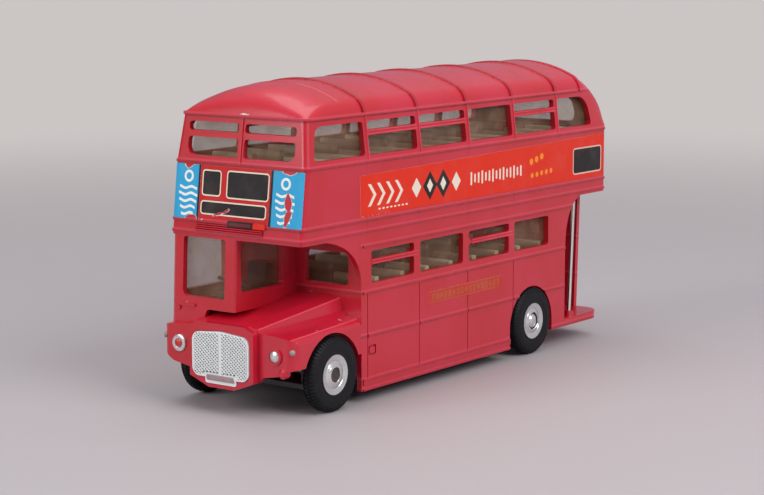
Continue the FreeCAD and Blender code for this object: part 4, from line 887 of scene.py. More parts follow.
@dataclass
class Sheet:
    """A thin printed label that follows the casting, with motifs and torn places."""

    name: str
    outline: list[Point2]
    ground: Ink
    skin: Place
    lift: float = 0.08
    root: float = -0.02
    motifs: list[tuple[Loop, Ink]] = field(default_factory=list)
    tears: list[Loop] = field(default_factory=list)
    grid: float = 0.6
    edge: Ink = Ink.PAPER

    def _flat(self) -> tuple[list[Point2], list[tuple[int, ...]]]:
        """Cuts the label's plane into triangles along every printed edge and tear.

        Returns:
            The points and the triangles.
        """
        points: list[Point2] = []
        edges: list[tuple[int, int]] = []
        for loop in [self.outline] + [m[0] for m in self.motifs] + self.tears:
            start = len(points)
            points += loop
            edges += [(start + i, start + (i + 1) % len(loop)) for i in range(len(loop))]
        us = [p[0] for p in self.outline]
        vs = [p[1] for p in self.outline]
        columns = int((max(us) - min(us)) / self.grid)
        row_gap = self.grid * 3
        rows = int((max(vs) - min(vs)) / row_gap)
        points += [(min(us) + self.grid * i, min(vs) + row_gap * (j - 0.37))
                   for i in range(1, columns) for j in range(1, rows + 1)]
        result = delaunay_2d_cdt([Vector(p) for p in points], edges, [], 0, 1e-5)
        return [tuple(p) for p in result[0]], [tuple(f) for f in result[2]]

    def _ink_at(self, u: float, v: float) -> Ink | None:
        """The print at a point.

        Args:
            u: the point's place across.
            v: the point's place up.

        Returns:
            The top motif's ink, or None outside the label and in its tears.
        """
        if not inside(self.outline, u, v) or any(inside(tear, u, v) for tear in self.tears):
            return None
        found = [ink for loop, ink in self.motifs if inside(loop, u, v)]
        return found[-1] if found else self.ground

    def make(self) -> None:
        """Builds the label as a closed thin sheet with its print colours on its faces."""
        flat, triangles = self._flat()
        count = len(flat)
        faces = []
        tones = []
        for face in triangles:
            ink = self._ink_at(sum(flat[i][0] for i in face) / 3, sum(flat[i][1] for i in face) / 3)
            if ink:
                faces.append(face)
                tones.append(ink)
        sides = dict.fromkeys(pair for face in faces for pair in zip(face, face[1:] + face[:1]))
        tones += [Ink.PAPER] * len(faces)
        faces += [tuple(i + count for i in face[::-1]) for face in faces]
        rim = [(b, a, a + count, b + count) for a, b in sides if (b, a) not in sides]
        tones += [self.edge] * len(rim)
        faces += rim
        points = [self.skin(u, v, height) for height in (self.lift, self.root) for u, v in flat]
        order = sorted({i for face in faces for i in face})
        number = {old: new for new, old in enumerate(order)}
        piece = mesh_piece(self.name, [points[i] for i in order],
                           [tuple(number[i] for i in face) for face in faces],
                           PrintedPaper("printed_paper"), Body.BUS, 30.0)
        layer = piece.data.color_attributes.new(name="ink", type="FLOAT_COLOR", domain="CORNER")
        for polygon, tone in zip(piece.data.polygons, tones):
            for corner in polygon.loop_indices:
                layer.data[corner].color = (*tone.value, 1.0)


def rimmed(box: Box, edge: float, outer: float, inner: float, rim: Ink) -> list[tuple[Loop, Ink]]:
    """A blank black blind in a rim.

    Args:
        box: the rim's left, right, lower and upper edges.
        edge: the rim's width.
        outer: the rim's corner radius.
        inner: the blind's corner radius.
        rim: the rim's ink.

    Returns:
        Both loops with their inks.
    """
    u0, u1, v0, v1 = box
    return [(rounded(u0, u1, v0, v1, outer), rim),
            (rounded(u0 + edge, u1 - edge, v0 + edge, v1 - edge, inner), Ink.BLACK)]


@dataclass
class TornLabel:
    """A label in two layers: the print, and the paper that shows where the print has torn further."""

    name: str
    outline: list[Point2]
    ground: Ink
    skin: Place
    motifs: list[tuple[Loop, Ink]]
    tears: list[Loop]
    draw_in: float
    paper_fray: float
    print_fray: float
    paper_seed: int
    print_seed: int
    lift: float = 0.09
    grid: float = 0.6

    def make(self) -> None:
        """Builds both layers."""
        bare = [ragged(shrunk(tear, self.draw_in), self.paper_fray, self.paper_seed + i)
                for i, tear in enumerate(self.tears)]
        torn = [ragged(tear, self.print_fray, self.print_seed + i) for i, tear in enumerate(self.tears)]
        Sheet(self.name + "_paper", self.outline, Ink.PAPER, self.skin, lift=self.lift - 0.04, tears=bare,
              grid=self.grid).make()
        Sheet(self.name, self.outline, self.ground, self.skin, lift=self.lift, root=self.lift - 0.05,
              motifs=self.motifs, tears=torn, grid=self.grid).make()


@dataclass
class DeckSkin:
    """The outer face of the upper deck, as places for labels."""

    front_y: float = -56.0
    rear_y: float = 60.78
    deck_z: float = 35.4
    panel_h: float = 14.5
    rake: float = 1.7
    front_r: float = 1.3
    rear_r: float = 1.5

    def front(self, run: float, z: float, lift: float) -> Point3:
        """A point on the raked front and round its corners.

        Args:
            run: distance from the middle along the surface.
            z: height.
            lift: distance off the surface.

        Returns:
            The point in millimetres.
        """
        straight = HALF_WIDTH - self.front_r
        face = self.front_y + self.rake * (z - self.deck_z) / self.panel_h
        turn = min(max(abs(run) - straight, 0.0) / self.front_r, math.pi / 2)
        if turn == 0:
            return (run, face - lift, z)
        radius = self.front_r + lift
        return (math.copysign(straight + radius * math.sin(turn), run),
                face + self.front_r - radius * math.cos(turn), z)

    def side(self, y: float, z: float, lift: float) -> Point3:
        """A point on the door side and round its rear corner.

        Args:
            y: distance along the surface, which is y up to the corner.
            z: height.
            lift: distance off the surface.

        Returns:
            The point in millimetres.
        """
        start = self.rear_y - self.rear_r
        turn = max(y - start, 0.0) / self.rear_r
        if turn == 0:
            return (HALF_WIDTH + lift, y, z)
        radius = self.rear_r + lift
        return (HALF_WIDTH - self.rear_r + radius * math.cos(turn), start + radius * math.sin(turn), z)


@dataclass
class FrontLabels:
    """Blank blinds on their crimson ground, with a blue label each side."""

    skin: DeckSkin
    low: float = 38.1
    high: float = 49.35
    blue_end: float = 16.85
    ground: Box = (-9.95, 8.5, 38.75, 49.3)
    blinds: tuple[Box, ...] = ((-9.45, -4.4, 43.2, 48.5), (-2.95, 8.15, 43.0, 48.65), (-9.55, 7.77, 39.43, 42.27))
    blind_edge: float = 0.28
    strips: Point2 = (0.55, 0.6)
    lean: float = 0.3
    ring_drop: float = 2.45
    ring_r: float = 1.25
    ring_hole: float = 0.72
    waves: tuple[float, ...] = (2.3, 2.5, 2.3, 2.0, 1.6)
    wave_drop: float = 4.75
    wave_gap: float = 1.32
    wave_half: float = 0.27
    swell: float = 0.22
    swell_rate: float = 1.9
    louvre: Box = (-1.8, 4.75, 37.45, 38.62)
    louvre_print: Box = (-1.35, 4.3, 37.72, 38.35)
    louvre_patch: Box = (4.85, 7.95, 37.5, 38.55)
    blind_tear: Loop = ((-6.3, 39.2), (-6.0, 39.5), (-4.8, 39.95), (-3.2, 40.4), (-1.9, 41.1), (-1.7, 40.8),
                        (-2.2, 40.3), (-3.0, 39.95), (-3.9, 39.75), (-4.6, 39.4))
    offside_tears: tuple[Loop, ...] = (
        ((-14.7, 49.65), (-14.3, 48.9), (-13.56, 48.3), (-12.7, 48.7), (-12.0, 49.15), (-11.2, 49.65)),
        ((-14.0, 37.8), (-13.4, 38.7), (-12.3, 39.2), (-10.9, 39.2), (-10.5, 38.8), (-10.3, 37.8)))
    nearside_tears: tuple[Loop, ...] = (
        ((10.9, 49.65), (11.4, 49.0), (12.4, 48.75), (13.6, 48.6), (14.6, 49.0), (15.4, 49.65)),
        ((13.02, 45.4), (13.58, 44.7), (14.18, 43.6), (14.2, 42.5), (13.85, 41.6), (14.44, 41.2),
         (14.1, 40.3), (13.54, 39.3), (13.0, 38.3), (12.3, 38.35), (12.5, 39.2), (12.3, 40.2),
         (12.63, 41.0), (13.0, 41.55), (12.37, 42.3), (12.18, 43.3), (12.45, 44.3)))

    def _blue(self, name: str, u0: float, u1: float, strip: Point2, lean: float,
              tears: Sequence[Loop]) -> None:
        """One blue label with a white ring over wavy bands, and its black strip.

        Args:
            name: the label's name.
            u0: its left edge.
            u1: its right edge.
            strip: the black strip's edges.
            lean: how far the pattern stands from the label's middle.
            tears: its torn places.
        """
        middle, half = (u0 + u1) / 2 + lean, self.wave_half
        motifs = [(rounded(*strip, self.low - 0.1, self.high + 0.1, 0.05, 1), Ink.BLACK),
                  (disc(middle, self.high - self.ring_drop, self.ring_r), Ink.WHITE),
                  (disc(middle, self.high - self.ring_drop, self.ring_hole), Ink.SKY)]
        for row, reach in enumerate(self.waves):
            crest = self.high - self.wave_drop - row * self.wave_gap
            wave = [(u, crest + self.swell * math.sin(self.swell_rate * (u - middle)))
                    for u in (middle - reach + 2 * reach * k / 16 for k in range(17))]
            motifs.append(([(u, w - half) for u, w in wave] + [(u, w + half) for u, w in wave[::-1]],
                           Ink.WHITE))
        outline = ragged(corners(u0, u1, self.low, self.high), 0.03, 11)
        TornLabel(name, outline, Ink.SKY, self.skin.front, motifs, list(tears), draw_in=0.16,
                  paper_fray=0.05, print_fray=0.07, paper_seed=5, print_seed=21, grid=0.3).make()

    def _blinds(self) -> None:
        """The three dark blinds with cream edges on the crimson ground."""
        motifs = []
        for blind in self.blinds:
            motifs += rimmed(blind, self.blind_edge, 0.75, 0.5, Ink.CREAM)
        outline = ragged(corners(*self.ground), 0.02, 3)
        TornLabel("front_blind_label", outline, Ink.CRIMSON, self.skin.front, motifs, [self.blind_tear],
                  draw_in=0.18, paper_fray=0.03, print_fray=0.05, paper_seed=8, print_seed=9,
                  lift=0.08).make()

    def make(self) -> None:
        """Builds the front's labels and the louvre's plate and patch."""
        left, right = self.ground[:2]
        self._blue("front_blue_label_offside", -self.blue_end, left, (left - self.strips[0], left),
                   self.lean, self.offside_tears)
        self._blue("front_blue_label_nearside", right, self.blue_end, (right, right + self.strips[1]),
                   -self.lean, self.nearside_tears)
        self._blinds()
        Sheet("louvre_plate", rounded(*self.louvre, 0.15, 2), Ink.BLACK, self.skin.front, lift=0.52, root=0.1,
              motifs=[(rounded(*self.louvre_print, 0.1, 2), Ink.MAROON)], edge=Ink.BLACK).make()
        Sheet("louvre_patch", ragged(corners(*self.louvre_patch), 0.04, 4), Ink.ORANGE, self.skin.front,
              lift=0.50, root=0.1, edge=Ink.DEEP_RED).make()


@dataclass
class SideLabels:
    """The long orange label, its blank blind, and the gold transfer on the lower panels.

    Each row of motifs is given as its start, its pitch and its count.
    """

    skin: DeckSkin
    start: float = -37.15
    end: float = 59.25
    low: float = 38.75
    front_high: float = 47.2
    rear_high: float = 48.75
    middle: float = 43.0
    chevrons: Row = (-34.6, 3.1, 4)
    chevron_half: float = 2.3
    dashes: Row = (-31.0, 1.35, 8)
    dash: Point3 = (0.75, 39.75, 40.1)
    lozenges: tuple[tuple[float, bool], ...] = ((-17.6, False), (-12.7, True), (-7.8, True), (-2.9, False))
    bars: Row = (2.6, 1.42, 15)
    bar_width: float = 0.62
    bar_halves: Point3 = (1.45, 0.95, 1.2)
    blind: Box = (45.3, 58.2, 39.85, 46.15)
    blind_edge: float = 0.35
    disc_places: tuple[Point3, ...] = (
        (27.2, 44.6, 0.75), (29.4, 45.0, 0.75), (31.6, 45.5, 0.75), (27.6, 41.4, 0.6),
        (29.6, 41.5, 0.6), (31.6, 41.7, 0.6), (33.6, 41.8, 0.6), (35.6, 41.9, 0.6))
    transfer: Box = (-12.8, 15.3, 17.45, 20.15)
    blocks: Row = (-11.4, 1.58, 17)

    def _motifs(self) -> list[tuple[Loop, Ink]]:
        """A plain pattern of chevrons, dashes, lozenges, bars and discs, and the blind.

        Returns:
            Loops with their inks.
        """
        mid, half = self.middle, self.chevron_half
        shapes = []
        for y in spread(*self.chevrons):
            shapes.append(([(y, mid - half), (y + 1.0, mid - half), (y + 2.9, mid), (y + 1.0, mid + half),
                            (y, mid + half), (y + 1.9, mid)], Ink.CREAM))
        length, low, high = self.dash
        shapes += [(rounded(y, y + length, low, high, 0.1, 1), Ink.CREAM) for y in spread(*self.dashes)]
        for y, double in self.lozenges:
            if double:
                shapes += [(lozenge(y, mid, 2.6, 3.1), Ink.BLACK), (lozenge(y, mid, 1.1, 1.5), Ink.CREAM)]
            else:
                shapes.append((lozenge(y, mid, 1.7, 2.1), Ink.CREAM))
        for i, y in enumerate(spread(*self.bars)):
            half = self.bar_halves[i % 3]
            shapes.append((rounded(y, y + self.bar_width, mid - half, mid + half, 0.2, 2), Ink.CREAM))
        shapes += [(disc(y, z, radius, 12), Ink.AMBER) for y, z, radius in self.disc_places]
        return shapes + rimmed(self.blind, self.blind_edge, 0.9, 0.6, Ink.ROSE)

    def _bites(self) -> list[Loop]:
        """Small bites out of the label's lower edge towards the front.

        Returns:
            The bites' outlines.
        """
        chance = random.Random(17)
        bites = []
        for i in range(7):
            y = self.start + 0.8 + i * 1.5 + chance.uniform(-0.5, 0.5)
            size = chance.uniform(0.15, 0.34)
            bites.append([(y - size, self.low - 0.3), (y - size * 0.4, self.low + size * 0.7),
                          (y + size * 0.5, self.low + size * 0.5), (y + size * 1.2, self.low - 0.3)])
        return bites

    def _transfer(self) -> None:
        """The gold transfer: two fine lines, with blocks and lozenges between them."""
        y0, y1, z0, z1 = self.transfer
        mid = (z0 + z1) / 2
        motifs = [(rounded(y0 + 0.2, y1 - 0.2, foot, foot + 0.12, 0.04, 1), Ink.GOLD)
                  for foot in (z0 + 0.12, z1 - 0.24)]
        for i, y in enumerate(spread(*self.blocks)):
            if i % 3 == 2:
                motifs.append((lozenge(y, mid, 0.45, 0.7), Ink.GOLD))
            else:
                motifs += [(rounded(y - 0.42, y + 0.42, mid - 0.68, mid + 0.68, 0.12, 2), Ink.GOLD),
                           (rounded(y - 0.2, y + 0.2, mid - 0.46, mid + 0.46, 0.08, 2), Ink.DEEP_RED)]
        Sheet("gold_transfer", ragged(corners(*self.transfer), 0.02, 51), Ink.DEEP_RED, self.skin.side,
              lift=0.04, motifs=motifs).make()

    def make(self) -> None:
        """Builds the side's labels."""
        outline = ragged([(self.start, self.low), (self.end, self.low), (self.end, self.rear_high),
                          (self.start, self.front_high)], 0.015, 31, 1.0)
        TornLabel("side_label", outline, Ink.ORANGE, self.skin.side, self._motifs(), self._bites(),
                  draw_in=0.1, paper_fray=0.03, print_fray=0.04, paper_seed=40, print_seed=60).make()
        self._transfer()


# Sub-assemblies


def paint(node: str, finish: Finish) -> None:
    """Gives a CAD node's slots one finish.

    Args:
        node: the node's name.
        finish: its finish.
    """
    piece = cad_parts[node]
    for slot in piece.material_slots:
        slot.material = finish.material()
    if not piece.material_slots:
        piece.data.materials.append(finish.material())
    LOG.info("%s: %s", node, finish.name)


@dataclass
class Castings:
    """The two enamelled castings, which keep their CAD shape, and where their raised lines are."""

    upper_lines: tuple[float, ...] = (35.9, 38.25, 50.15, 59.6)
    lower_lines: tuple[float, ...] = (3.0, 5.05, 14.25, 23.25, 32.85)
    upper_chips: tuple[Chip, ...] = (
        Chip(-9.0, -55.6, 38.3, 0.30), Chip(0.4, -53.0, 59.95, 0.24, 5.0), Chip(17.3, -31.0, 38.1, 0.26))
    lower_chips: tuple[Chip, ...] = (
        Chip(-12.6, -56.9, 21.2, 0.26, 1.4), Chip(-11.6, -56.9, 21.3, 0.22),
        Chip(14.6, -40.5, 18.0, 0.34, 1.5), Chip(15.8, -49.5, 17.3, 0.30), Chip(17.2, -57.5, 16.2, 0.26))

    def dress(self) -> None:
        """Gives each casting its worn enamel."""
        paint("upper_body", Enamel("enamel_upper", lines=self.upper_lines, uprights=PILLARS,
                                   chips=self.upper_chips))
        paint("lower_body", Enamel("enamel_lower", lines=self.lower_lines, lines_from=BULKHEAD_Y - 0.5,
                                   uprights=(BULKHEAD_Y,), chips=self.lower_chips))


@dataclass
class Fitments:
    """Every other CAD node's finish."""

    black: Moulding = Moulding("cab_black", colour=(0.03, 0.03, 0.032), aged=(0.05, 0.045, 0.04))
    pole: Silver = Silver("bright_pole", colour=(0.34, 0.31, 0.215), dirt=(0.15, 0.13, 0.09), shine=0.42,
                          metallic=0.6, dirt_share=0.6)
    # The steel axle is given near-black: painted shade under the bus.
    axle: PressedSteel = PressedSteel("axle_steel", colour=(0.012, 0.011, 0.010))

    def dress(self) -> None:
        """Gives glazing, seats, grille, pole, base, wheels and axles their finishes."""
        paint("radiator_grille", GrilleSilver("grille_silver"))
        paint("base_plate", PressedSteel("base_black"))
        paint("cab_fittings", self.black)
        paint("platform_pole", self.pole)
        for node in ("upper_seats", "lower_seats"):
            # crest: the seats' top height, where their painted highlight ends.
            paint(node, Moulding("cream_" + node, crest=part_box(node)[1][2] / MM))
        for node in ("upper_glazing", "saloon_glazing", "cab_glazing"):
            paint(node, Glazing("clear_plastic"))
        for end, axle_y in AXLES.items():
            paint(end + "_axle", self.axle)
            for side in SIDES:
                paint("%s_%s_hub" % (end, side), TurnedMetal("turned_" + end, axle_y=axle_y))
                paint("%s_%s_tyre" % (end, side), Rubber("tyre_rubber"))


@dataclass
class Wheel:
    """One wheel's tyre, tread and facing.

    Its profiles are pairs of a place along the axle, from the tyre's outer face, and a radius.
    """

    end: str
    side_name: str
    face_x: float = 17.9
    blocks: int = 60
    block_half: float = 0.26
    tread_r: float = 7.5
    segments: int = 96
    sunk_centre: Loop = ((-0.38, 0.0), (-0.38, 1.42), (-0.2, 1.5), (-0.05, 1.56), (-0.02, 1.68), (-0.08, 1.9),
                         (-0.26, 2.5))
    round_head: Loop = ((0.0, 0.0), (-0.02, 0.45), (-0.09, 0.85), (-0.2, 1.2), (-0.38, 1.5), (-0.48, 1.6),
                        (-0.48, 1.78), (-0.28, 1.9), (-0.12, 2.02), (-0.14, 2.2), (-0.3, 2.65))
    rim: Loop = ((-0.42, 2.9), (-0.36, 2.98), (-0.32, 3.3), (-0.24, 3.8), (-0.19, 4.0), (-0.17, 4.1),
                 (-0.22, 4.19), (-0.42, 4.2), (-0.6, 4.1), (-0.6, 0.0))
    axle_end: Loop = ((-0.24, 0.0), (-0.22, 0.4), (-0.28, 0.8), (-0.24, 1.1), (-0.16, 1.38), (-0.2, 1.56),
                      (-0.45, 1.5), (-0.45, 0.0))
    carcass: Loop = ((-0.20, 4.14), (-0.04, 4.2), (0.0, 4.32), (-0.02, 4.5), (-0.08, 4.62), (-0.05, 4.8),
                     (-0.01, 5.2), (0.0, 5.7), (-0.02, 6.1), (-0.07, 6.26), (-0.05, 6.36), (-0.08, 6.5),
                     (-0.2, 6.85), (-0.42, 7.2), (-0.75, 7.45), (-1.12, 7.54), (-1.2, 7.46), (-1.28, 7.54),
                     (-2.12, 7.54), (-2.2, 7.46), (-2.28, 7.52), (-2.65, 7.3), (-3.0, 6.8), (-3.22, 6.1),
                     (-3.36, 5.2), (-3.36, 4.3), (-3.2, 4.14))
    outer_block: Loop = ((-0.11, 6.42), (-0.05, 6.55), (-0.15, 6.95), (-0.36, 7.33), (-0.66, 7.6),
                         (-1.10, 7.73), (-1.10, 7.4), (-0.7, 7.3), (-0.3, 6.8))
    crown_block: Loop = ((-1.30, 7.4), (-1.30, 7.74), (-2.10, 7.74), (-2.10, 7.4))
    inner_block: Loop = ((-2.3, 7.4), (-2.3, 7.72), (-2.72, 7.5), (-3.02, 7.05), (-3.0, 6.8), (-2.6, 7.2))

    @property
    def name(self) -> str:
        """The wheel's name."""
        return "%s_%s" % (self.end, self.side_name)

    @property
    def side(self) -> int:
        """1 on the door side and -1 on the cab side."""
        return SIDES[self.side_name]

    @property
    def body(self) -> Body:
        """The wheelset that the wheel belongs to."""
        return Body.FRONT_WHEELS if self.end == "front" else Body.REAR_WHEELS

    def _place(self, along: float, across: float, up: float) -> Point3:
        """A point given from the wheel's outer face and its axle."""
        return (self.side * (self.face_x + along), AXLES[self.end] + across, AXLE_Z + up)

    def facing(self) -> None:
        """The hub's turned face: rim, flat ring, cone, and a sunk rough centre or a round head."""
        front = self.end == "front"
        # groove gives the radius of the ring of painted shade on the facing.
        turned = TurnedMetal("faced_" + self.end, axle_y=AXLES[self.end], groove=0.9 if front else 1.73)
        centre = self.sunk_centre if front else self.round_head
        lathe(self.name + "_hub_face", centre + self.rim, self._place, turned, self.body, self.segments)
        if front:
            worn = Silver("rough_centre", colour=(0.060, 0.052, 0.040), dirt=(0.012, 0.010, 0.009),
                          shine=0.6, metallic=0.3, dirt_share=0.95)
            lathe(self.name + "_axle_end", self.axle_end, self._place, worn, self.body, 7)

    def tyre(self) -> None:
        """The carcass, with bead, bulged wall and rounded shoulders, in the plain solid's place."""
        piece = mesh_piece(self.name + "_tyre_rubber", hoops(self.carcass, self._place, self.segments),
                           bands(0, len(self.carcass), self.segments, closed=True), Rubber("tyre_rubber"),
                           self.body, 50.0)
        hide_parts(self.name + "_tyre")

    def _tread_tree(self) -> bpy.types.NodeTree:
        """The node tree that sets one row of blocks evenly round an axle.

        Returns:
            The tree, made once.
        """
        if "tread_row" in bpy.data.node_groups:
            return bpy.data.node_groups["tread_row"]
        net, given = geometry_tree("tread_row", {"Block": "Geometry", "Count": "Int", "Start": "Float",
                                                 "Axle": "Vector", "Finish": "Material"})
        index = net.out("GeometryNodeInputIndex", {}, {})
        turn = (index + given["Start"]) * (2 * math.pi) / given["Count"]
        points = net.out("GeometryNodePoints", {}, {"Count": given["Count"], "Position": given["Axle"]})
        spin = net.out("ShaderNodeCombineXYZ", {}, {0: turn})
        placed = net.out("GeometryNodeInstanceOnPoints", {},
                         {"Points": points, "Instance": given["Block"], "Rotation": spin})
        return end_tree(net, placed, given["Finish"])

    def _block(self, section: Loop) -> bpy.types.Mesh:
        """One tread block at the top of the wheel, about its axle.

        Args:
            section: (along, radius) corners, counted round.

        Returns:
            The mesh, in metres.
        """
        build = bmesh.new()
        rows = []
        for turn in (-self.block_half / self.tread_r, self.block_half / self.tread_r):
            across, up = math.sin(turn) * MM, math.cos(turn) * MM
            rows.append([build.verts.new((self.side * a * MM, r * across, r * up)) for a, r in section])
        count = len(section)
        for i in range(count):
            j = (i + 1) % count
            build.faces.new((rows[0][i], rows[0][j], rows[1][j], rows[1][i]))
        build.faces.new(rows[0])
        build.faces.new(rows[1][::-1])
        bmesh.ops.recalc_face_normals(build, faces=build.faces)
        mesh = bpy.data.meshes.new("tread_block")
        build.to_mesh(mesh)
        build.free()
        return mesh

    def tread(self) -> None:
        """Lays the shoulder and crown blocks, the crown's between the others."""
        axle = [c * MM for c in (self.side * self.face_x, AXLES[self.end], AXLE_Z)]
        rubber = Rubber("tyre_rubber").material()
        for label, section, start in (("outer", self.outer_block, 0.0), ("crown", self.crown_block, 0.5),
                                      ("inner", self.inner_block, 0.0)):
            grown("%s_%s_tread" % (self.name, label), self._block(section), self._tread_tree(),
                  {"Count": self.blocks, "Start": start, "Axle": axle, "Finish": rubber}, self.body)

    def make(self) -> None:
        """Builds all that the wheel adds."""
        self.facing()
        self.tyre()
        self.tread()


@dataclass
class GrilleWork:
    """The fine lattice over the radiator's panes and the blank plate at its foot."""

    face_y: float = -61.0
    proud: float = 0.09
    bar: float = 0.30
    pitch_x: float = 0.9
    pitch_z: float = 0.74
    first_bar: float = 0.2
    shortest: float = 0.12
    pane_in: float = 0.40
    pane_out: float = 6.95
    foot: float = 7.75
    foot_r: float = 0.8
    notch: float = 8.4
    notch_x: float = 4.3
    crown: float = 16.45
    shoulder: float = 16.2
    shoulder_r: float = 1.35
    plate_half: float = 3.6
    plate_low: float = 6.72
    plate_high: float = 7.9
    # The backing's dark grey is painted shade in the grille's hollows.
    backing_silver: Silver = Silver("backing_grey", colour=(0.20, 0.205, 0.20), shine=0.6, metallic=0.2,
                                    dirt_share=0.6)
    lattice_silver: Silver = Silver("lattice_silver", colour=(0.86, 0.90, 0.89), shine=0.38, metallic=0.30,
                                    dirt_share=0.2)
    plate_silver: Silver = Silver("plate_silver", colour=(0.36, 0.27, 0.28), dirt=(0.26, 0.09, 0.10),
                                  shine=0.4, metallic=0.3, dirt_share=0.6)

    def _pane(self, side: int) -> list[Point2]:
        """A pane's outline, cut away over the plate and rounded at its outer corners.

        Args:
            side: 1 on the door side and -1 on the cab side.

        Returns:
            The outline's (x, z) points.
        """
        loop = [(self.pane_in, self.notch), (self.pane_in, self.crown)]
        for turn in (math.radians(90 - 15 * i) for i in range(7)):
            loop.append((self.pane_out - self.shoulder_r * (1 - math.cos(turn)),
                         self.shoulder - self.shoulder_r * (1 - math.sin(turn))))
        for turn in (math.radians(-22.5 * i) for i in range(5)):
            loop.append((self.pane_out - self.foot_r * (1 - math.cos(turn)),
                         self.foot + self.foot_r * (1 + math.sin(turn))))
        loop += [(self.notch_x + 0.5, self.foot), (self.notch_x, self.notch)]
        return [(side * x, z) for x, z in loop]

    def _ring(self, loop: Loop, off: float) -> list[Point3]:
        """A loop of (x, z) points set off from the radiator's face."""
        return [(x, self.face_y + off, z) for x, z in loop]

    def _spans(self, loop: Loop, run: float, slope: float) -> list[tuple[Point2, Point2]]:
        """The stretches of a slanted line inside a loop.

        Args:
            loop: the pane's outline.
            run: the line's x at height 0.
            slope: how far it climbs for each millimetre across.

        Returns:
            Pairs of end points.
        """
        hits = []
        for i, (x1, z1) in enumerate(loop):
            x0, z0 = loop[i - 1]
            d0, d1 = z0 - (x0 - run) * slope, z1 - (x1 - run) * slope
            if (d0 > 0) != (d1 > 0):
                share = d0 / (d0 - d1)
                hits.append((x0 + (x1 - x0) * share, z0 + (z1 - z0) * share))
        hits.sort()
        return [(a, b) for a, b in zip(hits[::2], hits[1::2]) if b[0] - a[0] > self.shortest]

    def backing(self) -> None:
        """The ground behind the lattice, dark grey as painted shade in the hollows."""
        panes = Stack()
        for side in (-1, 1):
            loop = self._pane(side)
            panes.add(self._ring(loop, -0.025), self._ring(loop, 0.1))
        mesh_piece("grille_backing", panes.points, panes.faces, self.backing_silver, Body.BUS, 20.0)

    def lattice(self) -> None:
        """Crossing bars with sloped sides in both panes; those that climb to the cab side are the wider."""
        bars = Stack()
        steep = self.pitch_z / self.pitch_x
        for slope, bar in ((steep, self.bar * 0.82), (-steep, self.bar)):
            half = bar / 2 / math.cos(math.atan(steep))
            section = ((0.0, -half), (-self.proud, -half * 0.4), (-self.proud, half * 0.4), (0.0, half))
            for side in (-1, 1):
                loop = self._pane(side)
                for i in range(-40, 41):
                    for span in self._spans(loop, i * self.pitch_x + self.first_bar, slope):
                        bars.add(*([(x, self.face_y + off, z + rise) for off, rise in section]
                                   for x, z in span))
        mesh_piece("grille_lattice", bars.points, bars.faces, self.lattice_silver, Body.BUS, 20.0)

    def plate(self) -> None:
        """The blank number plate, pinkish where its silver has worn."""
        half, low, high, bevel = self.plate_half, self.plate_low, self.plate_high, 0.1
        loop = rounded(-half, half, low, high, 0.3, 4)
        small = rounded(-half + bevel, half - bevel, low + bevel, high - bevel, 0.22, 4)
        plate = Stack()
        plate.add(self._ring(loop, 0.05), self._ring(loop, -0.03), self._ring(small, -0.06))
        mesh_piece("grille_plate", plate.points, plate.faces, self.plate_silver, Body.BUS, 25.0)

    def make(self) -> None:
        """Builds all three."""
        self.backing()
        self.lattice()
        self.plate()


@dataclass
class Beading:
    """Fine round beads on window pillars, sliders and the bonnet's and wing's crests."""

    belt: float = 49.9
    gutter: float = 59.3
    tumble: float = 1.1
    pillar_foot: float = 50.5
    pillar_head: float = 59.2
    pillar_shift: float = 0.42
    upper_sliders: tuple[int, ...] = (0, 1, 3)
    upper_slider_zs: Point2 = (55.42, 56.12)
    lower_sliders: tuple[int, ...] = (0, 2)
    lower_slider_zs: Point2 = (28.82, 29.5)
    crests: tuple[tuple[Point3, Point3], ...] = (
        ((8.28, -58.95, 17.80), (11.78, -36.9, 21.58)),
        ((16.22, -58.45, 16.42), (16.22, -36.9, 17.62)))
    radius: float = 0.21
    # The beads' red is lighter than the castings' enamel: a painted highlight along the beads and crests.
    enamel: Enamel = Enamel("enamel_beads", colour=(0.58, 0.012, 0.034), faded=(0.66, 0.050, 0.085))

    def _wall(self, z: float) -> float:
        """How far the side wall stands from the middle at a height."""
        return HALF_WIDTH - self.tumble * max(z - self.belt, 0.0) / (self.gutter - self.belt)

    def _slider(self, window: int, inset: float, side: int, zs: Point2) -> list[tuple[Point3, Point3]]:
        """The two beads along one slider.

        Args:
            window: the window's number, from the front.
            inset: how far the beads end from the middle of the pillars.
            side: 1 on the door side and -1 on the cab side.
            zs: the beads' heights.

        Returns:
            The beads' ends.
        """
        y0, y1 = PILLARS[window] + inset, PILLARS[window + 1] - inset
        return [((side * self._wall(z), y0, z), (side * self._wall(z), y1, z)) for z in zs]

    def _lines(self) -> list[tuple[Point3, Point3]]:
        """The ends of every bead.

        Returns:
            Pairs of points.
        """
        lines = []
        for side in (-1, 1):
            for y in (pillar + self.pillar_shift for pillar in PILLARS):
                lines.append(tuple((side * self._wall(z), y, z)
                                   for z in (self.pillar_foot, self.pillar_head)))
            for window in self.upper_sliders:
                lines += self._slider(window, 0.6, side, self.upper_slider_zs)
        for window in self.lower_sliders:
            lines += self._slider(window, 1.0, 1, self.lower_slider_zs)
        return lines + list(self.crests)

    def make(self) -> None:
        """Builds the beads as one plain mesh."""
        lines = self._lines()
        seed = bpy.data.meshes.new("bead_seed")
        seed.from_pydata([[c * MM for c in p] for line in lines for p in line],
                         [(2 * i, 2 * i + 1) for i in range(len(lines))], [])
        net, given = geometry_tree("bead_lines",
                                   {"Lines": "Geometry", "Radius": "Float", "Finish": "Material"})
        curve = net.out("GeometryNodeMeshToCurve", {}, {0: given["Lines"]})
        ring = net.out("GeometryNodeCurvePrimitiveCircle", {},
                       {"Resolution": 10, "Radius": given["Radius"]})
        tube = net.out("GeometryNodeCurveToMesh", {},
                       {"Curve": curve, "Profile Curve": ring, "Fill Caps": True})
        tree = end_tree(net, tube, given["Finish"])
        grown("window_beads", seed, tree, {"Radius": self.radius * MM, "Finish": self.enamel.material()},
              Body.BUS, 60.0)


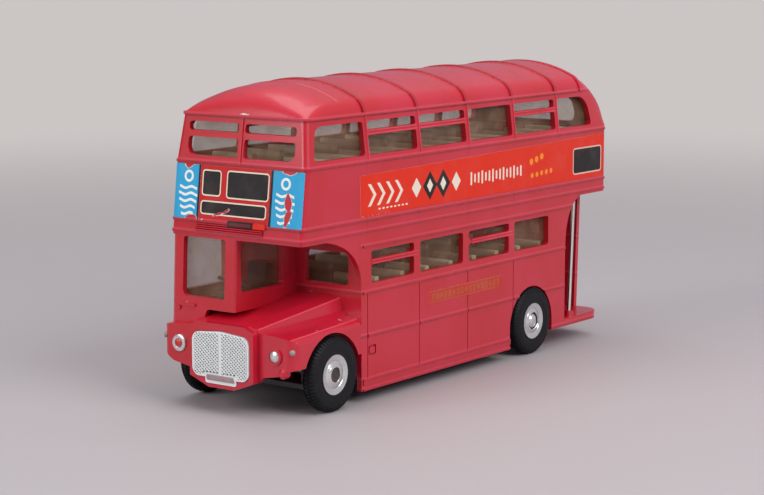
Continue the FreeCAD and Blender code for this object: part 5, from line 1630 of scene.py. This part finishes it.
@dataclass
class Lamps:
    """Headlamps and side lamps laid over the casting's own bosses; profiles are (forward, radius)."""

    face_y: float = -59.1
    lamp_x: float = 12.8
    lamp_z: float = 13.0
    offside_shift: float = 0.4
    side_lamp: Point3 = (16.65, -58.40, 14.1)
    ring: Loop = ((0.30, 0.0), (0.30, 0.90), (0.46, 1.0), (0.53, 1.25), (0.50, 1.55), (0.40, 1.74),
                  (0.1, 1.79), (-0.2, 1.79), (-0.2, 0.0))
    centre: Loop = ((0.55, 0.0), (0.53, 0.3), (0.48, 0.6), (0.38, 0.82), (0.28, 0.9), (0.0, 0.85), (0.0, 0.0))
    glass: Loop = ((0.66, 0.0), (0.63, 0.35), (0.56, 0.7), (0.42, 1.0), (0.24, 1.2), (0.0, 1.22), (0.0, 0.0))
    button: Loop = ((0.52, 0.0), (0.50, 0.25), (0.43, 0.45), (0.32, 0.59), (0.0, 0.6), (0.0, 0.0))
    silver: Silver = Silver("lamp_silver", colour=(0.66, 0.65, 0.65), shine=0.26, metallic=0.7,
                            dirt_share=0.45)
    dull: Silver = Silver("side_lamp_silver", colour=(0.30, 0.30, 0.28), shine=0.45, metallic=0.4,
                          dirt_share=0.7)
    red: Enamel = Enamel("lamp_red", colour=(0.50, 0.010, 0.016), faded=(0.56, 0.10, 0.09))

    def _ahead(self, x: float) -> Place:
        """Points given from a headlamp's centre on the wing's face, along its axis."""
        return lambda along, across, up: (x + across, self.face_y - along, self.lamp_z + up)

    def _aslant(self, side: int) -> Place:
        """Points given from a side lamp's face on the wing's corner, along its slanted axis.

        Args:
            side: 1 on the door side and -1 on the cab side.

        Returns:
            A function of (along, across, up).
        """
        x, y, z = self.side_lamp
        turn = math.sqrt(0.5)
        return lambda along, across, up: (side * (x + (along + across) * turn),
                                          y + (across - along) * turn, z + up)

    def make(self) -> None:
        """Builds the lamps."""
        offside = self._ahead(self.offside_shift - self.lamp_x)
        lathe("offside_headlamp_ring", self.ring, offside, self.silver, Body.BUS, 40)
        lathe("offside_headlamp_centre", self.centre, offside, self.red, Body.BUS, 32)
        lathe("nearside_headlamp_glass", self.glass, self._ahead(self.lamp_x), self.silver, Body.BUS, 40)
        for name, side in SIDES.items():
            lathe(name + "_side_lamp", self.button, self._aslant(side), self.dull, Body.BUS, 24)


@dataclass
class Studio:
    """Floor, lights, world and the camera that took the photograph."""

    camera_at: Point3 = (268.98, -369.04, 94.49)
    yaw: float = 36.55
    pitch: float = -8.45
    roll: float = 0.06
    focal_px: float = 2070.13
    width_px: float = 764.0
    sensor: float = 36.0
    floor_reach: float = 3.0
    lamps: tuple[tuple[str, Point3, float, float], ...] = (
        ("key_lamp", (520, -60, 420), 3.1, 420), ("top_lamp", (-40, 60, 620), 1.5, 520),
        ("front_lamp", (-200, -560, 300), 2.2, 380))
    aim: Point3 = (0, 0, 30)
    sky_left: Colour = (0.10, 0.10, 0.12)
    sky_right: Colour = (0.44, 0.43, 0.54)
    sky_top: Colour = (0.50, 0.50, 0.53)
    paint: StudioPaint = StudioPaint("studio_floor")

    def _camera(self) -> None:
        """The camera at the photograph's viewing angle."""
        data = bpy.data.cameras.new("photo_camera")
        data.sensor_width = self.sensor
        data.lens = self.focal_px / self.width_px * self.sensor
        data.clip_start = 0.005
        data.clip_end = 20.0
        camera = bpy.data.objects.new("photo_camera", data)
        camera.location = [c * MM for c in self.camera_at]
        camera.rotation_euler = [math.radians(turn) for turn in (90 + self.pitch, self.roll, self.yaw)]
        bpy.context.scene.collection.objects.link(camera)
        bpy.context.scene.camera = camera

    def _lamp(self, name: str, at: Point3, power: float, size: float) -> None:
        """One square soft lamp that looks at the bus.

        Args:
            name: the lamp's name.
            at: where it hangs, in millimetres.
            power: its power in watts.
            size: its side in millimetres.
        """
        data = bpy.data.lights.new(name, "AREA")
        data.energy = power
        data.size = size * MM
        lamp = bpy.data.objects.new(name, data)
        lamp.location = [c * MM for c in at]
        look = Vector([c * MM for c in self.aim]) - lamp.location
        lamp.rotation_euler = look.to_track_quat("-Z", "Y").to_euler()
        bpy.context.scene.collection.objects.link(lamp)

    def _world(self) -> None:
        """A sky darker to the left and front, with the plain backdrop where it is seen or mirrored."""
        world = bpy.data.worlds.new("studio_world")
        world.use_nodes = True
        world.node_tree.nodes.clear()
        net = Net(world.node_tree)
        path = net.add("ShaderNodeLightPath", {}, {})
        seen, glossy, clear = (Signal(net, path.outputs[ray])
                               for ray in ("Is Camera Ray", "Is Glossy Ray", "Is Transmission Ray"))
        across, back, up = net.split(net.out("ShaderNodeTexCoord", {}, {}, "Generated"))
        side = across * 0.8 + back * 0.6
        sky = net.mix(side.ramp(-0.9, 0.9), self.sky_left, self.sky_right)
        sky = net.mix(up.ramp(0.2, 0.9), sky, self.sky_top)
        seen = seen.most(clear).most(glossy * side.ramp(-0.2, 1.0) * 0.5)
        colour = net.mix(seen, sky, self.paint.far)
        shade = net.out("ShaderNodeBackground", {}, {"Color": colour, "Strength": 1.0})
        net.add("ShaderNodeOutputWorld", {}, {"Surface": shade})
        bpy.context.scene.world = world

    def _floor(self) -> None:
        """A plain pale floor."""
        reach = self.floor_reach
        mesh = bpy.data.meshes.new("studio_floor")
        mesh.from_pydata([(u, v, 0) for u, v in corners(-reach, reach, -reach, reach)], [], [(0, 1, 2, 3)])
        mesh.materials.append(self.paint.material())
        floor = bpy.data.objects.new("studio_floor", mesh)
        bpy.context.scene.collection.objects.link(floor)

    def make(self) -> None:
        """Builds the studio."""
        self._camera()
        for lamp in self.lamps:
            self._lamp(*lamp)
        self._world()
        self._floor()
        bpy.context.scene.view_settings.view_transform = "Standard"


def main() -> None:
    """Dresses the castings and builds every piece that the scene adds."""
    logging.basicConfig(level=logging.INFO, format="%(message)s")
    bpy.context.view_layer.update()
    Castings().dress()
    Fitments().dress()
    for end in AXLES:
        for side in SIDES:
            Wheel(end, side).make()
    skin = DeckSkin()
    FrontLabels(skin).make()
    SideLabels(skin).make()
    GrilleWork().make()
    Beading().make()
    Lamps().make()
    Studio().make()


if __name__ == "__main__":
    main()
